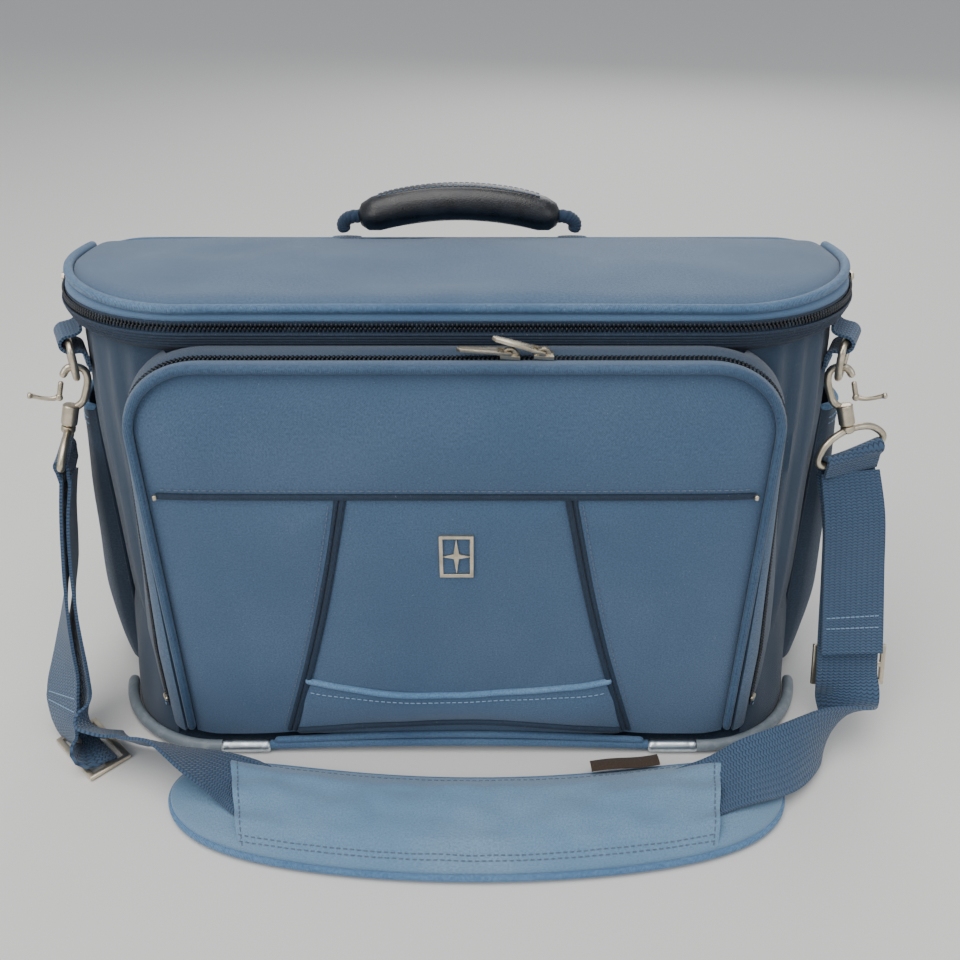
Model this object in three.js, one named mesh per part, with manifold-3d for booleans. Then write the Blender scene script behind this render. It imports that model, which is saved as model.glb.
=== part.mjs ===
// Soft-sided flight bag with a zipped lid, a zipped front pocket, end pockets and a padded shoulder strap.
// Millimetres, +Z up, +X to the bag's right seen from the front, -Y out of the front pocket.
// The origin is on the table, midway along the bag's width, 97 mm behind the front pocket's face.
import * as THREE from "three";
import { mergeVertices } from "three/addons/utils/BufferGeometryUtils.js";
import Module from "manifold-3d";

const wasm = await Module();
wasm.setup();

// ---------- driving dimensions ----------
const GAP = 0.4; // between pieces that lie face to face
const CUT = 600; // a cutting block, larger than the bag

const BAG_WIDTH = 440; // across the end panels
const BACK_Y = 75; // outer face of the back panel
const WALL_TOP = 258; // top edge of the body panels
const WALL = 5; // foam-backed panel thickness

const TOP_FRONT_Y = -62; // front panel at the rim
const TOP_CORNER = 80; // plan radius of the front corners at the rim
const FOOT_FRONT_Y = -74; // front panel at the base
const FOOT_CORNER = 72; // plan radius of the front corners at the base
const BACK_CORNER = 22; // plan radius of the back corners

const BASE_THICK = 4;
const BASE_FRONT_Y = -97; // the base carries the front pocket too
const BASE_CORNER = 68;
const BOARD_THICK = 3;

const RIM_HEIGHT = 9.5; // band under the lid zip
const RIM_PROUD = 5.5; // how far the rim stands out past the panels
const COIL_HEIGHT = 2.6; // one half of the lid zip
const COIL_PROUD = 6;

const HINGE_Y = 46; // the lid folds along this line
const HINGE_Z = WALL_TOP + 18;
const DECK_TOP = WALL_TOP + 16; // fixed deck behind the hinge line, which carries the handle
const LID_WALL = 5;
const CROWN_Z = WALL_TOP + 29; // highest point of the lid
const CROWN_DROP = 9; // fall of the crown over CROWN_REACH, front to back
const CROWN_REACH = 80;
const CROWN_SIDE_DROP = 2;
const CROWN_EDGE_DROP = 2;
const CROWN_Y = -5;
const PIPING_RADIUS = 2.6;

const POCKET_WIDTH = BAG_WIDTH - 104; // front pocket
const POCKET_TOP = WALL_TOP + 4;
const POCKET_CORNER = 40;
const POCKET_FACE_Y = -97;
const POCKET_SKIN = 3;
const PAD_THICK = 7; // padded face of the front pocket
const FLAP_DEPTH = 10; // gusset in front of the pocket's zip
const ZIP_HALF = 2; // one half of the pocket's zip
const FLAP_HINGE_Z = 10.5;

const END_POCKET_TOP = WALL_TOP - 58; // end pockets
const END_POCKET_BULGE = 13;
const END_POCKET_SKIN = 3;
const END_POCKET_FLOOR = 12;

const SLEEVE_WIDTH = BAG_WIDTH - 140; // sleeve on the back panel
const SLEEVE_TOP = WALL_TOP - 68;
const SLEEVE_GAP = 6;
const SLEEVE_SKIN = 2;

const HANDLE_Y = 66;
const HANDLE_SPAN = 125; // length of the grip
const HANDLE_RADIUS = 9.5;
const HANDLE_END_Z = DECK_TOP + 14.5;
const HANDLE_RISE = 10;
const HANDLE_CORD = 3.7; // radius of the cord that carries the grip
const HANDLE_PATCH = 2; // thickness of the patch under each end of the cord

const RING_Y = -18; // where the ring tabs sit on the corner curve
const RING_Z = WALL_TOP - 11; // axis of the ring's straight bar
const RING_OUT = 11; // ring bar from the panel
const RING_WIRE = 2;
const RING_WIDTH = 30;
const RING_HEIGHT = 25;
const TAB_WIDTH = 24;

const WEBBING = 38; // shoulder strap
const WEB_THICK = 1.8;
const EYE_WIRE = 2.2;
const EYE_INSIDE = WEBBING + 3;

const solid = (geometry) => {
  const plain = geometry.index ? geometry.toNonIndexed() : geometry.clone();
  const bare = new THREE.BufferGeometry().setAttribute("position", plain.getAttribute("position"));
  const merged = mergeVertices(bare, 1e-4);
  return new wasm.Manifold(
    new wasm.Mesh({
      numProp: 3,
      vertProperties: merged.attributes.position.array,
      triVerts: new Uint32Array(merged.index.array),
    }),
  );
};

const geometryOf = (manifold) => {
  const made = manifold.getMesh();
  const places = new Float32Array(made.numVert * 3);
  for (let i = 0; i < made.numVert; i += 1) {
    const from = i * made.numProp;
    places.set(made.vertProperties.subarray(from, from + 3), i * 3);
  }
  return new THREE.BufferGeometry()
    .setAttribute("position", new THREE.BufferAttribute(places, 3))
    .setIndex(new THREE.BufferAttribute(made.triVerts, 1));
};

// ---------- shape helpers ----------
// A closed body through rings of the same number of points, each ring anticlockwise seen from the far end.
// The second half of each ring is split the other way, so that both faces of a thin strip twist alike.
function loft(rings) {
  const count = rings[0].length;
  const places = rings.flat().flatMap((p) => [p.x, p.y, p.z]);
  const faces = [];
  for (let r = 0; r + 1 < rings.length; r += 1) {
    for (let i = 0; i < count; i += 1) {
      const a = r * count + i;
      const b = r * count + ((i + 1) % count);
      if (i < count / 2) faces.push(a, b, b + count, a, b + count, a + count);
      else faces.push(a, b, a + count, b, b + count, a + count);
    }
  }
  const cap = (ring) => {
    const centre = ring.reduce((sum, p) => sum.add(p), new THREE.Vector3()).divideScalar(count);
    const normal = new THREE.Vector3();
    ring.forEach((p, i) => {
      const next = ring[(i + 1) % count];
      normal.add(p.clone().sub(centre).cross(next.clone().sub(centre)));
    });
    normal.normalize();
    const across = ring[0].clone().sub(centre).projectOnPlane(normal).normalize();
    const up = normal.clone().cross(across);
    const flat = ring.map((p) => {
      const d = p.clone().sub(centre);
      return new THREE.Vector2(d.dot(across), d.dot(up));
    });
    return THREE.ShapeUtils.triangulateShape(flat, []);
  };
  const last = (rings.length - 1) * count;
  cap(rings[0]).forEach(([a, b, c]) => faces.push(c, b, a));
  cap(rings.at(-1)).forEach(([a, b, c]) => faces.push(last + a, last + b, last + c));
  return new THREE.BufferGeometry()
    .setAttribute("position", new THREE.Float32BufferAttribute(places, 3))
    .setIndex(faces);
}

// Points of one quarter turn, from angle a to angle b in degrees.
function arc(cx, cy, radius, a, b, steps) {
  return Array.from({ length: steps + 1 }, (_, i) => {
    const angle = THREE.MathUtils.degToRad(a + ((b - a) * i) / steps);
    return new THREE.Vector2(cx + radius * Math.cos(angle), cy + radius * Math.sin(angle));
  });
}

// Plan outline with large front corners, anticlockwise from the front left.
function planOutline({ front, back, corner, grow = 0 }) {
  const half = BAG_WIDTH / 2 + grow;
  const f = front - grow;
  const b = back + grow;
  const big = corner + grow;
  const small = Math.max(2, BACK_CORNER + grow);
  return [
    ...arc(half - big, f + big, big, -90, 0, 8),
    ...arc(half - small, b - small, small, 0, 90, 3),
    ...arc(-half + small, b - small, small, 90, 180, 3),
    ...arc(-half + big, f + big, big, 180, 270, 8),
  ];
}

// The body's outline at a height: it flares forward from the rim to the base.
function bodyOutline(z, grow = 0) {
  const t = 1 - z / WALL_TOP;
  return planOutline({
    front: THREE.MathUtils.lerp(TOP_FRONT_Y, FOOT_FRONT_Y, t),
    corner: THREE.MathUtils.lerp(TOP_CORNER, FOOT_CORNER, t),
    back: BACK_Y,
    grow,
  });
}

const ringAt = (outline, z) => outline.map((p) => new THREE.Vector3(p.x, p.y, z));
const lidPlan = (grow) => planOutline({ front: TOP_FRONT_Y, back: BACK_Y, corner: TOP_CORNER, grow });

// A block between two corners.
function block(x0, x1, y0, y1, z0, z1) {
  const box = new THREE.BoxGeometry(x1 - x0, y1 - y0, z1 - z0);
  return solid(box.translate((x0 + x1) / 2, (y0 + y1) / 2, (z0 + z1) / 2));
}

const behind = (y) => block(-CUT, CUT, y, CUT, -CUT, CUT);
const before = (y) => block(-CUT, CUT, -CUT, y, -CUT, CUT);

// A level band around the rim between two heights, between two offsets from the panels.
function rimBand(z0, z1, outerGrow, innerGrow) {
  const outer = solid(loft([ringAt(lidPlan(outerGrow), z0), ringAt(lidPlan(outerGrow), z1)]));
  const inner = solid(loft([ringAt(lidPlan(innerGrow), z0 - 1), ringAt(lidPlan(innerGrow), z1 + 1)]));
  return outer.subtract(inner);
}

// A round bar along an open path.
function bar(points, radius, steps, sides = 8) {
  const path = new THREE.CatmullRomCurve3(points, false, "centripetal");
  const section = new THREE.Shape(new THREE.EllipseCurve(0, 0, radius, radius).getPoints(sides).slice(0, sides));
  return new THREE.ExtrudeGeometry(section, { steps, extrudePath: path, bevelEnabled: false });
}

// A round wire bent into a closed loop.
function wireLoop(points, radius, steps = 24, sides = 8) {
  const path = new THREE.CatmullRomCurve3(points, true, "centripetal");
  return new THREE.TubeGeometry(path, steps, radius, sides, true);
}

// A flat strap along stations {at, across}: across is the direction of its width.
function ribbon(stations, width, thick) {
  const rings = stations.map(({ at, across }, i) => {
    const from = stations[Math.max(0, i - 1)].at;
    const to = stations[Math.min(stations.length - 1, i + 1)].at;
    const along = to.clone().sub(from).normalize();
    const side = across.clone().projectOnPlane(along).normalize();
    const face = along.clone().cross(side).normalize();
    return [[1, 1], [-1, 1], [-1, -1], [1, -1]].map(([s, f]) =>
      at.clone().addScaledVector(side, (s * width) / 2).addScaledVector(face, (f * thick) / 2),
    );
  });
  return loft(rings);
}

const V = (x, y, z) => new THREE.Vector3(x, y, z);

// ---------- materials ----------
const paint = (color, roughness, metalness = 0) =>
  new THREE.MeshStandardMaterial({ color, roughness, metalness });
const CLOTH = paint(0x3f5f80, 0.85);
const DARK_CLOTH = paint(0x26364a, 0.85);
const TRIM = paint(0x2f4258, 0.6);
const COIL = paint(0x14181f, 0.5);
const METAL = paint(0xb9b2a4, 0.3, 1);
const GRIP = paint(0x1b2334, 0.35);
const STRAP = paint(0x2b4c72, 0.8);
const BOARD = paint(0x16181b, 0.7);
const LINING = paint(0x3a4048, 0.9);
const GUARD = paint(0x4a5560, 0.45);
const LABEL = paint(0x3a2c22, 0.9);

const bag = new THREE.Group();
const add = (name, shape, material, place = bag) => {
  const geometry = shape.isBufferGeometry ? shape : geometryOf(shape);
  const mesh = new THREE.Mesh(geometry, material);
  mesh.name = name;
  place.add(mesh);
  return mesh;
};

// ---------- base ----------
const basePlan = (grow) => planOutline({ front: BASE_FRONT_Y, back: BACK_Y, corner: BASE_CORNER, grow });
add("base_panel", loft([ringAt(basePlan(0), 0), ringAt(basePlan(0), BASE_THICK)]), DARK_CLOTH);
const boardZ = BASE_THICK + GAP;
const boardPlan = bodyOutline(boardZ + BOARD_THICK, -WALL - GAP);
add("base_board", loft([ringAt(boardPlan, boardZ), ringAt(boardPlan, boardZ + BOARD_THICK)]), BOARD);

// Tubular guards round the base's front corners, with a metal ferrule where each meets the front piping.
const GUARD_RADIUS = 3.6;
const GUARD_Z = 4.2;
const FERRULE_OUT = BAG_WIDTH / 2 - BASE_CORNER - 2;
const FERRULE_IN = FERRULE_OUT - 32;
const guardOut = GUARD_RADIUS + GAP;
const guardFront = BASE_FRONT_Y - guardOut;
const guardBend = BASE_CORNER + guardOut;
for (const [name, side] of [["left", -1], ["right", 1]]) {
  const bend = arc(BAG_WIDTH / 2 - BASE_CORNER, BASE_FRONT_Y + BASE_CORNER, guardBend, -88, -8, 8);
  const route = bend.map((p) => V(side * p.x, p.y, GUARD_Z));
  route.unshift(V(side * (FERRULE_OUT + GAP), guardFront, GUARD_Z));
  add(`corner_guard_${name}`, bar(route, GUARD_RADIUS, 18), GUARD);
  const ferrule = [V(side * FERRULE_IN, guardFront, GUARD_Z), V(side * FERRULE_OUT, guardFront, GUARD_Z)];
  add(`guard_ferrule_${name}`, bar(ferrule, GUARD_RADIUS + 0.3, 1, 10), METAL);
}
const frontPiping = [V(-FERRULE_IN + GAP, guardFront, GUARD_Z), V(FERRULE_IN - GAP, guardFront, GUARD_Z)];
add("base_front_piping", bar(frontPiping, GUARD_RADIUS, 1), TRIM);

// ---------- body panels ----------
const shellLow = BASE_THICK + GAP;
const heights = [shellLow, WALL_TOP / 2, WALL_TOP];
const outerBody = solid(loft(heights.map((z) => ringAt(bodyOutline(z), z))));
const innerHeights = [shellLow - 1, WALL_TOP / 2, WALL_TOP + 1];
const innerBody = solid(loft(innerHeights.map((z) => ringAt(bodyOutline(z, -WALL), z))));
const shell = outerBody.subtract(innerBody);
const SEAM_Y = -48; // front panel to end panel, on the corner curve
const backSeam = BACK_Y - WALL - GAP;
add("front_wall", shell.intersect(before(SEAM_Y)), CLOTH);
const endRange = block(-CUT, CUT, SEAM_Y + GAP, backSeam, -CUT, CUT);
const ends = shell.intersect(endRange);
add("left_wall", ends.intersect(block(-CUT, 0, -CUT, CUT, -CUT, CUT)), CLOTH);
add("right_wall", ends.intersect(block(0, CUT, -CUT, CUT, -CUT, CUT)), CLOTH);
add("back_wall", shell.intersect(behind(backSeam + GAP)), CLOTH);

// Padded divider that splits the main compartment, standing on the base board.
const DIVIDER_Y = 20;
const DIVIDER_THICK = 6;
const dividerLow = boardZ + BOARD_THICK + GAP;
const dividerHalf = BAG_WIDTH / 2 - WALL - 6;
add(
  "divider_panel",
  block(-dividerHalf, dividerHalf, DIVIDER_Y, DIVIDER_Y + DIVIDER_THICK, dividerLow, WALL_TOP - 48),
  LINING,
);

// ---------- rim and lid zip ----------
const rimLow = WALL_TOP + GAP;
const rimTop = rimLow + RIM_HEIGHT;
const coilLow = rimTop + GAP;
const coilMid = coilLow + COIL_HEIGHT;
const upperLow = coilMid + GAP;
const upperTop = upperLow + COIL_HEIGHT;
const zipEnd = HINGE_Y - 3;
add("rim_band", rimBand(rimLow, rimTop, RIM_PROUD, -WALL).intersect(before(zipEnd)), TRIM);
add("lid_zip_lower", rimBand(coilLow, coilMid, COIL_PROUD, -2).intersect(before(zipEnd)), COIL);
const deckOuter = solid(loft([ringAt(lidPlan(0), rimLow), ringAt(lidPlan(0), DECK_TOP)]));
const deckInner = solid(loft([ringAt(lidPlan(-WALL), rimLow - 1), ringAt(lidPlan(-WALL), DECK_TOP - 4)]));
add("rear_deck", deckOuter.subtract(deckInner).intersect(behind(HINGE_Y + GAP)), CLOTH);

// ---------- lid ----------
const crownAt = (x, y) => {
  const back = (y - CROWN_Y) / CROWN_REACH;
  const out = Math.abs(x) / (BAG_WIDTH / 2);
  return CROWN_Z - CROWN_DROP * back ** 2 - CROWN_SIDE_DROP * out ** 4;
};
const lid = new THREE.Group();
bag.add(lid);
const lidLow = upperTop + GAP;
const LID_SHRINK = 1;
const shrunk = (outline, share) =>
  outline.map((p) => new THREE.Vector2(p.x * share, CROWN_Y + (p.y - CROWN_Y) * share));
// Rings of the crown run in from the lid's edge, each point at the crown's height less a depth.
function crownRings(outline, depth) {
  return [1, 0.94, 0.8, 0.55, 0.25].map((share, i) =>
    shrunk(outline, share).map((p) => {
      const edge = i === 0 ? CROWN_EDGE_DROP : 0;
      return V(p.x, p.y, crownAt(p.x, p.y) - depth - edge);
    }),
  );
}
const lidOuter = lidPlan(-LID_SHRINK);
const lidInner = lidPlan(-LID_SHRINK - LID_WALL);
const lidSolid = solid(loft([ringAt(lidOuter, lidLow), ...crownRings(lidOuter, 0)]));
const lidHollow = solid(loft([ringAt(lidInner, lidLow - 5), ...crownRings(lidInner, LID_WALL)]));
add("lid_shell", lidSolid.subtract(lidHollow).intersect(before(HINGE_Y - GAP)), CLOTH, lid);
add("lid_zip_upper", rimBand(upperLow, upperTop, COIL_PROUD, -2).intersect(before(zipEnd)), COIL, lid);

// Piping along the lid's upper edge, round the front and both ends.
const pipeGrow = PIPING_RADIUS + GAP - LID_SHRINK;
const pipeCorner = TOP_CORNER + pipeGrow;
const pipeCentre = BAG_WIDTH / 2 - TOP_CORNER;
const pipeTurn = arc(pipeCentre, TOP_FRONT_Y + TOP_CORNER, pipeCorner, -90, 0, 6);
const pipeSide = BAG_WIDTH / 2 + pipeGrow;
const pipeRight = [...pipeTurn, new THREE.Vector2(pipeSide, (zipEnd + 18) / 2), new THREE.Vector2(pipeSide, zipEnd)];
const pipeHeight = (p) => Math.max(crownAt(p.x, p.y) - 2.5, upperTop + GAP + PIPING_RADIUS);
const pipeRoute = [
  ...pipeRight.map((p) => V(-p.x, p.y, pipeHeight(p))).reverse(),
  V(0, TOP_FRONT_Y - pipeGrow, pipeHeight({ x: 0, y: TOP_FRONT_Y })),
  ...pipeRight.map((p) => V(p.x, p.y, pipeHeight(p))),
];
add("lid_piping", bar(pipeRoute, PIPING_RADIUS, 44), TRIM, lid);

// ---------- front pocket ----------
const POCKET_FLOOR = 8;
// The pocket's edge in the X-Z plane: up one side, round both top corners and down the other.
function pocketShape(inset, floor) {
  const half = POCKET_WIDTH / 2 - inset;
  const top = POCKET_TOP - inset;
  const round = POCKET_CORNER - inset;
  return new THREE.Shape([
    new THREE.Vector2(-half, floor),
    new THREE.Vector2(half, floor),
    ...arc(half - round, top - round, round, 0, 90, 6),
    ...arc(-half + round, top - round, round, 90, 180, 6),
  ]);
}
// An X-Z shape made solid between two depths.
function slab(shape, y0, y1) {
  const made = new THREE.ExtrudeGeometry(shape, { depth: y1 - y0, bevelEnabled: false });
  return solid(made.rotateX(Math.PI / 2).translate(0, y1, 0));
}
function pocketBand(y0, y1, outerInset, innerInset, floor) {
  return slab(pocketShape(outerInset, floor), y0, y1).subtract(
    slab(pocketShape(innerInset, floor - 5), y0 - 1, y1 + 1),
  );
}
const flapBack = POCKET_FACE_Y + FLAP_DEPTH;
const zipMid = flapBack + ZIP_HALF;
const gussetFront = zipMid + GAP + ZIP_HALF;
const ZIP_FLOOR = 30;
const clearOfBody = solid(loft([0, WALL_TOP / 2, WALL_TOP + 8].map((z) => ringAt(bodyOutline(z, GAP), z))));
const rimPlan = lidPlan(RIM_PROUD + GAP);
const clearOfRim = solid(loft([ringAt(rimPlan, WALL_TOP - GAP), ringAt(rimPlan, HINGE_Z)]));
const gusset = pocketBand(gussetFront + GAP, TOP_FRONT_Y, 0, POCKET_SKIN, POCKET_FLOOR);
add("pocket_gusset", gusset.subtract(clearOfBody).subtract(clearOfRim), CLOTH);
add("pocket_zip_rear", pocketBand(zipMid + GAP, gussetFront, 0.5, 2.5, ZIP_FLOOR), COIL);

const flap = new THREE.Group();
bag.add(flap);
const flapFloor = FLAP_HINGE_Z + 0.5;
const panelBack = POCKET_FACE_Y + PAD_THICK;
const panelInset = POCKET_SKIN + 2.5 * GAP;
add("pocket_face", slab(pocketShape(panelInset, flapFloor), POCKET_FACE_Y, panelBack), CLOTH, flap);
add("pocket_flap_gusset", pocketBand(POCKET_FACE_Y + 3.5, flapBack - GAP, 0, POCKET_SKIN, flapFloor), CLOTH, flap);
add("pocket_zip_front", pocketBand(flapBack, zipMid, 0.5, 2.5, ZIP_FLOOR), COIL, flap);

const pipeHalf = POCKET_WIDTH / 2 - 0.5;
const pipeTop = POCKET_TOP - 0.5;
const pipeRound = POCKET_CORNER - 0.5;
const facePiping = [
  V(-pipeHalf, 0, 15),
  V(-pipeHalf, 0, 130),
  ...arc(-pipeHalf + pipeRound, pipeTop - pipeRound, pipeRound, 180, 90, 5).map((p) => V(p.x, 0, p.y)),
  V(0, 0, pipeTop),
  ...arc(pipeHalf - pipeRound, pipeTop - pipeRound, pipeRound, 90, 0, 5).map((p) => V(p.x, 0, p.y)),
  V(pipeHalf, 0, 130),
  V(pipeHalf, 0, 15),
];
const pocketPiping = add("pocket_piping", bar(facePiping, PIPING_RADIUS, 48), TRIM, flap);
pocketPiping.position.y = POCKET_FACE_Y;

// Low slip pocket across the foot of the face, its mouth dipping in the middle.
const LOW_HALF_FOOT = 102;
const LOW_HALF_TOP = 93;
const LOW_TOP = 52;
const LOW_DIP = 9;
const lowMouth = Array.from({ length: 7 }, (_, i) => {
  const u = 1 - i / 3;
  return new THREE.Vector2(u * LOW_HALF_TOP, LOW_TOP - LOW_DIP * (1 - u * u));
});
const lowShape = new THREE.Shape([
  new THREE.Vector2(-LOW_HALF_FOOT, flapFloor + 3),
  new THREE.Vector2(LOW_HALF_FOOT, flapFloor + 3),
  ...lowMouth,
]);
const faceFront = POCKET_FACE_Y - GAP;
add("low_pocket_panel", slab(lowShape, faceFront - 2.5, faceFront), CLOTH, flap);

// Plain metal badge: an open frame around a four-pointed star.
const BADGE_WIDTH = 19;
const BADGE_HEIGHT = 28;
const BADGE_Z = 150;
const badgeEdge = (inset) => {
  const w = BADGE_WIDTH / 2 - inset;
  const h = BADGE_HEIGHT / 2 - inset;
  return [[-w, -h], [w, -h], [w, h], [-w, h]].map(([x, z]) => new THREE.Vector2(x, BADGE_Z + z));
};
const badgeFrame = new THREE.Shape(badgeEdge(0));
badgeFrame.holes.push(new THREE.Path(badgeEdge(2)));
const starPoints = Array.from({ length: 8 }, (_, i) => {
  const reach = i % 2 ? 2.2 : i % 4 ? 8.4 : 12.6;
  const angle = Math.PI / 2 + (i * Math.PI) / 4;
  return new THREE.Vector2(reach * Math.cos(angle), BADGE_Z + reach * Math.sin(angle));
});
const badge = slab(badgeFrame, faceFront - 2, faceFront).add(
  slab(new THREE.Shape(starPoints), faceFront - 1.5, faceFront),
);
add("badge", badge, METAL, flap);

// ---------- zip sliders ----------
// A slider seen from above: body with a raised bridge, along +X, its underside at z = 0.
function sliderBody() {
  const body = new THREE.Shape([
    new THREE.Vector2(-5, -2.6),
    new THREE.Vector2(5, -4),
    new THREE.Vector2(5, 4),
    new THREE.Vector2(-5, 2.6),
  ]);
  const plate = solid(new THREE.ExtrudeGeometry(body, { depth: 2, bevelEnabled: false }));
  const bridge = new THREE.Shape([
    new THREE.Vector2(-4, 1.5),
    new THREE.Vector2(4, 1.5),
    ...arc(0, 1.5, 4, 20, 160, 5),
  ]);
  bridge.holes.push(new THREE.Path(arc(0, 3.1, 1.3, 0, 315, 7)));
  const arch = new THREE.ExtrudeGeometry(bridge, { depth: 3, bevelEnabled: false });
  return plate.add(solid(arch.rotateX(Math.PI / 2).translate(0, 1.5, 0)));
}
// A pull that hangs from the bridge: a cross pin through it, two cheeks and a tapered tongue, along -X.
const PULL_LENGTH = 27;
function sliderPull() {
  const pin = solid(new THREE.CylinderGeometry(0.8, 0.8, 7, 8));
  const cheek = (y) => block(-6.5, 0.6, y - 0.9, y + 0.9, -0.8, 0.8);
  const tongue = new THREE.Shape([
    new THREE.Vector2(-6, -3.4),
    new THREE.Vector2(-6, 3.4),
    new THREE.Vector2(-PULL_LENGTH + 2, 2.2),
    new THREE.Vector2(-PULL_LENGTH, 0),
    new THREE.Vector2(-PULL_LENGTH + 2, -2.2),
  ]);
  const blade = new THREE.ExtrudeGeometry(tongue, { depth: 1.6, bevelEnabled: false });
  return pin.add(cheek(2.9)).add(cheek(-2.9)).add(solid(blade.translate(0, 0, -0.8)));
}
const SLIDER_PIN_Z = 3.1; // the pin's height over the slider's underside
const SLIDER_X = [["left", 28, 3], ["right", 45, 16]]; // place along the pocket's top, and the pull's tilt
const sliderZ = POCKET_TOP + 0.6;
for (const [name, x, tilt] of SLIDER_X) {
  const place = new THREE.Group();
  place.position.set(x, zipMid + GAP / 2, sliderZ);
  bag.add(place);
  add(`pocket_slider_${name}`, sliderBody(), METAL, place);
  const pull = add(`pocket_pull_${name}`, sliderPull(), METAL, place);
  pull.position.z = SLIDER_PIN_Z;
  pull.rotation.y = THREE.MathUtils.degToRad(tilt);
}
const LID_SLIDER_Y = 35;
const lidSliderX = BAG_WIDTH / 2 + COIL_PROUD + 0.6;
for (const [name, side] of [["left", -1], ["right", 1]]) {
  const place = new THREE.Group();
  const basis = new THREE.Matrix4().makeBasis(V(0, 1, 0), V(0, 0, side), V(side, 0, 0));
  place.applyMatrix4(basis.setPosition(side * lidSliderX, LID_SLIDER_Y, coilMid + GAP / 2));
  bag.add(place);
  add(`lid_slider_${name}`, sliderBody(), METAL, place);
  add(`lid_pull_${name}`, sliderPull(), METAL, place).position.z = SLIDER_PIN_Z;
}

// ---------- end pockets and back sleeve ----------
// A chain of outline points down one end, from the corner curve to near the back.
function endChain(z, side, out) {
  const full = bodyOutline(z, 0).slice(6, 10);
  const chain = [];
  for (let i = 0; i + 1 < full.length; i += 1) {
    const steps = i === 2 ? 4 : 1;
    for (let s = 0; s < steps; s += 1) chain.push(full[i].clone().lerp(full[i + 1], s / steps));
  }
  return chain.map((p, i) => {
    const next = chain[Math.min(chain.length - 1, i + 1)];
    const last = chain[Math.max(0, i - 1)];
    const normal = new THREE.Vector2(next.y - last.y, last.x - next.x).normalize();
    const reach = out(i / (chain.length - 1));
    return V(side * (p.x + normal.x * reach), p.y + normal.y * reach, z);
  });
}
const POUCH_LEVELS = [
  [END_POCKET_FLOOR, 0.5],
  [70, 1],
  [140, 1.05],
  [END_POCKET_TOP, 0.75],
];
function pouch(levels, side, inner, outer) {
  const rings = levels.map(([z, full]) => {
    const near = endChain(z, side, () => inner);
    const far = endChain(z, side, (u) => outer + full * END_POCKET_BULGE * Math.sin(Math.PI * u) ** 0.6);
    const ring = [...far, ...near.reverse()];
    return side > 0 ? ring : ring.reverse();
  });
  return solid(loft(rings));
}
for (const [name, side] of [["left", -1], ["right", 1]]) {
  const outside = pouch(POUCH_LEVELS, side, GAP, GAP + END_POCKET_SKIN);
  const space = [[END_POCKET_FLOOR + END_POCKET_SKIN, 0.5], ...POUCH_LEVELS.slice(1, 3), [END_POCKET_TOP + 2, 0.74]];
  const hollow = pouch(space, side, -2, GAP);
  add(`end_pocket_${name}`, outside.subtract(hollow), CLOTH);
}

const sleeveY = BACK_Y + GAP;
const sleeveDeep = SLEEVE_GAP + SLEEVE_SKIN;
const sleeveHalf = SLEEVE_WIDTH / 2;
const sleeve = block(-sleeveHalf, sleeveHalf, sleeveY, sleeveY + sleeveDeep, 30, SLEEVE_TOP).subtract(
  block(-sleeveHalf + 3, sleeveHalf - 3, sleeveY - 1, sleeveY + SLEEVE_GAP, 33, SLEEVE_TOP + 1),
);
add("back_sleeve", sleeve, CLOTH);

// ---------- carrying handle ----------
const cordX = HANDLE_SPAN / 2 + 9;
const patchTop = DECK_TOP + GAP + HANDLE_PATCH;
const pivotZ = patchTop + GAP + HANDLE_CORD + 0.3;
for (const [name, side] of [["left", -1], ["right", 1]]) {
  const x = side * cordX;
  const patch = block(x - 7, x + 7, HANDLE_Y - 7, HANDLE_Y + 7, DECK_TOP + GAP, patchTop);
  add(`handle_patch_${name}`, patch, STRAP);
}
const handle = new THREE.Group();
bag.add(handle);
const gripHalf = HANDLE_SPAN / 2;
const gripAt = (u) => V(u * gripHalf, HANDLE_Y, HANDLE_END_Z + HANDLE_RISE * (1 - u * u));
const grip = bar([-1, -0.6, -0.2, 0.2, 0.6, 1].map(gripAt), HANDLE_RADIUS, 14, 12);
// The cord runs up from one patch, through the grip and down to the other, with a round bead at each end.
const cordHalf = [
  V(cordX, HANDLE_Y, pivotZ),
  V(cordX + 2.5, HANDLE_Y, pivotZ + 6),
  V(cordX - 2, HANDLE_Y, HANDLE_END_Z + 1.5),
  gripAt(0.85),
  gripAt(0.4),
];
const cordLine = [...cordHalf.map((p) => V(-p.x, p.y, p.z)), ...cordHalf.reverse()];
const bead = (side) => solid(new THREE.SphereGeometry(HANDLE_CORD + 0.3, 12, 8)).translate(side * cordX, HANDLE_Y, pivotZ);
const cord = solid(bar(cordLine, HANDLE_CORD, 44)).add(bead(-1)).add(bead(1));
add("handle_grip", solid(grip).subtract(solid(bar(cordLine, HANDLE_CORD + GAP, 44))), GRIP, handle);
add("handle_cord", cord, STRAP, handle);

// ---------- ring tabs, rings, hooks ----------
// Everything on one side is made in the tab's own frame: X out of the panel, Y along it.
const ringSin = (TOP_FRONT_Y + TOP_CORNER - RING_Y) / TOP_CORNER;
const ringAngle = Math.asin(ringSin);
const ringX = BAG_WIDTH / 2 - TOP_CORNER + TOP_CORNER * Math.cos(ringAngle);
const ringFoot = RING_Z - RING_HEIGHT + 1;

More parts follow.
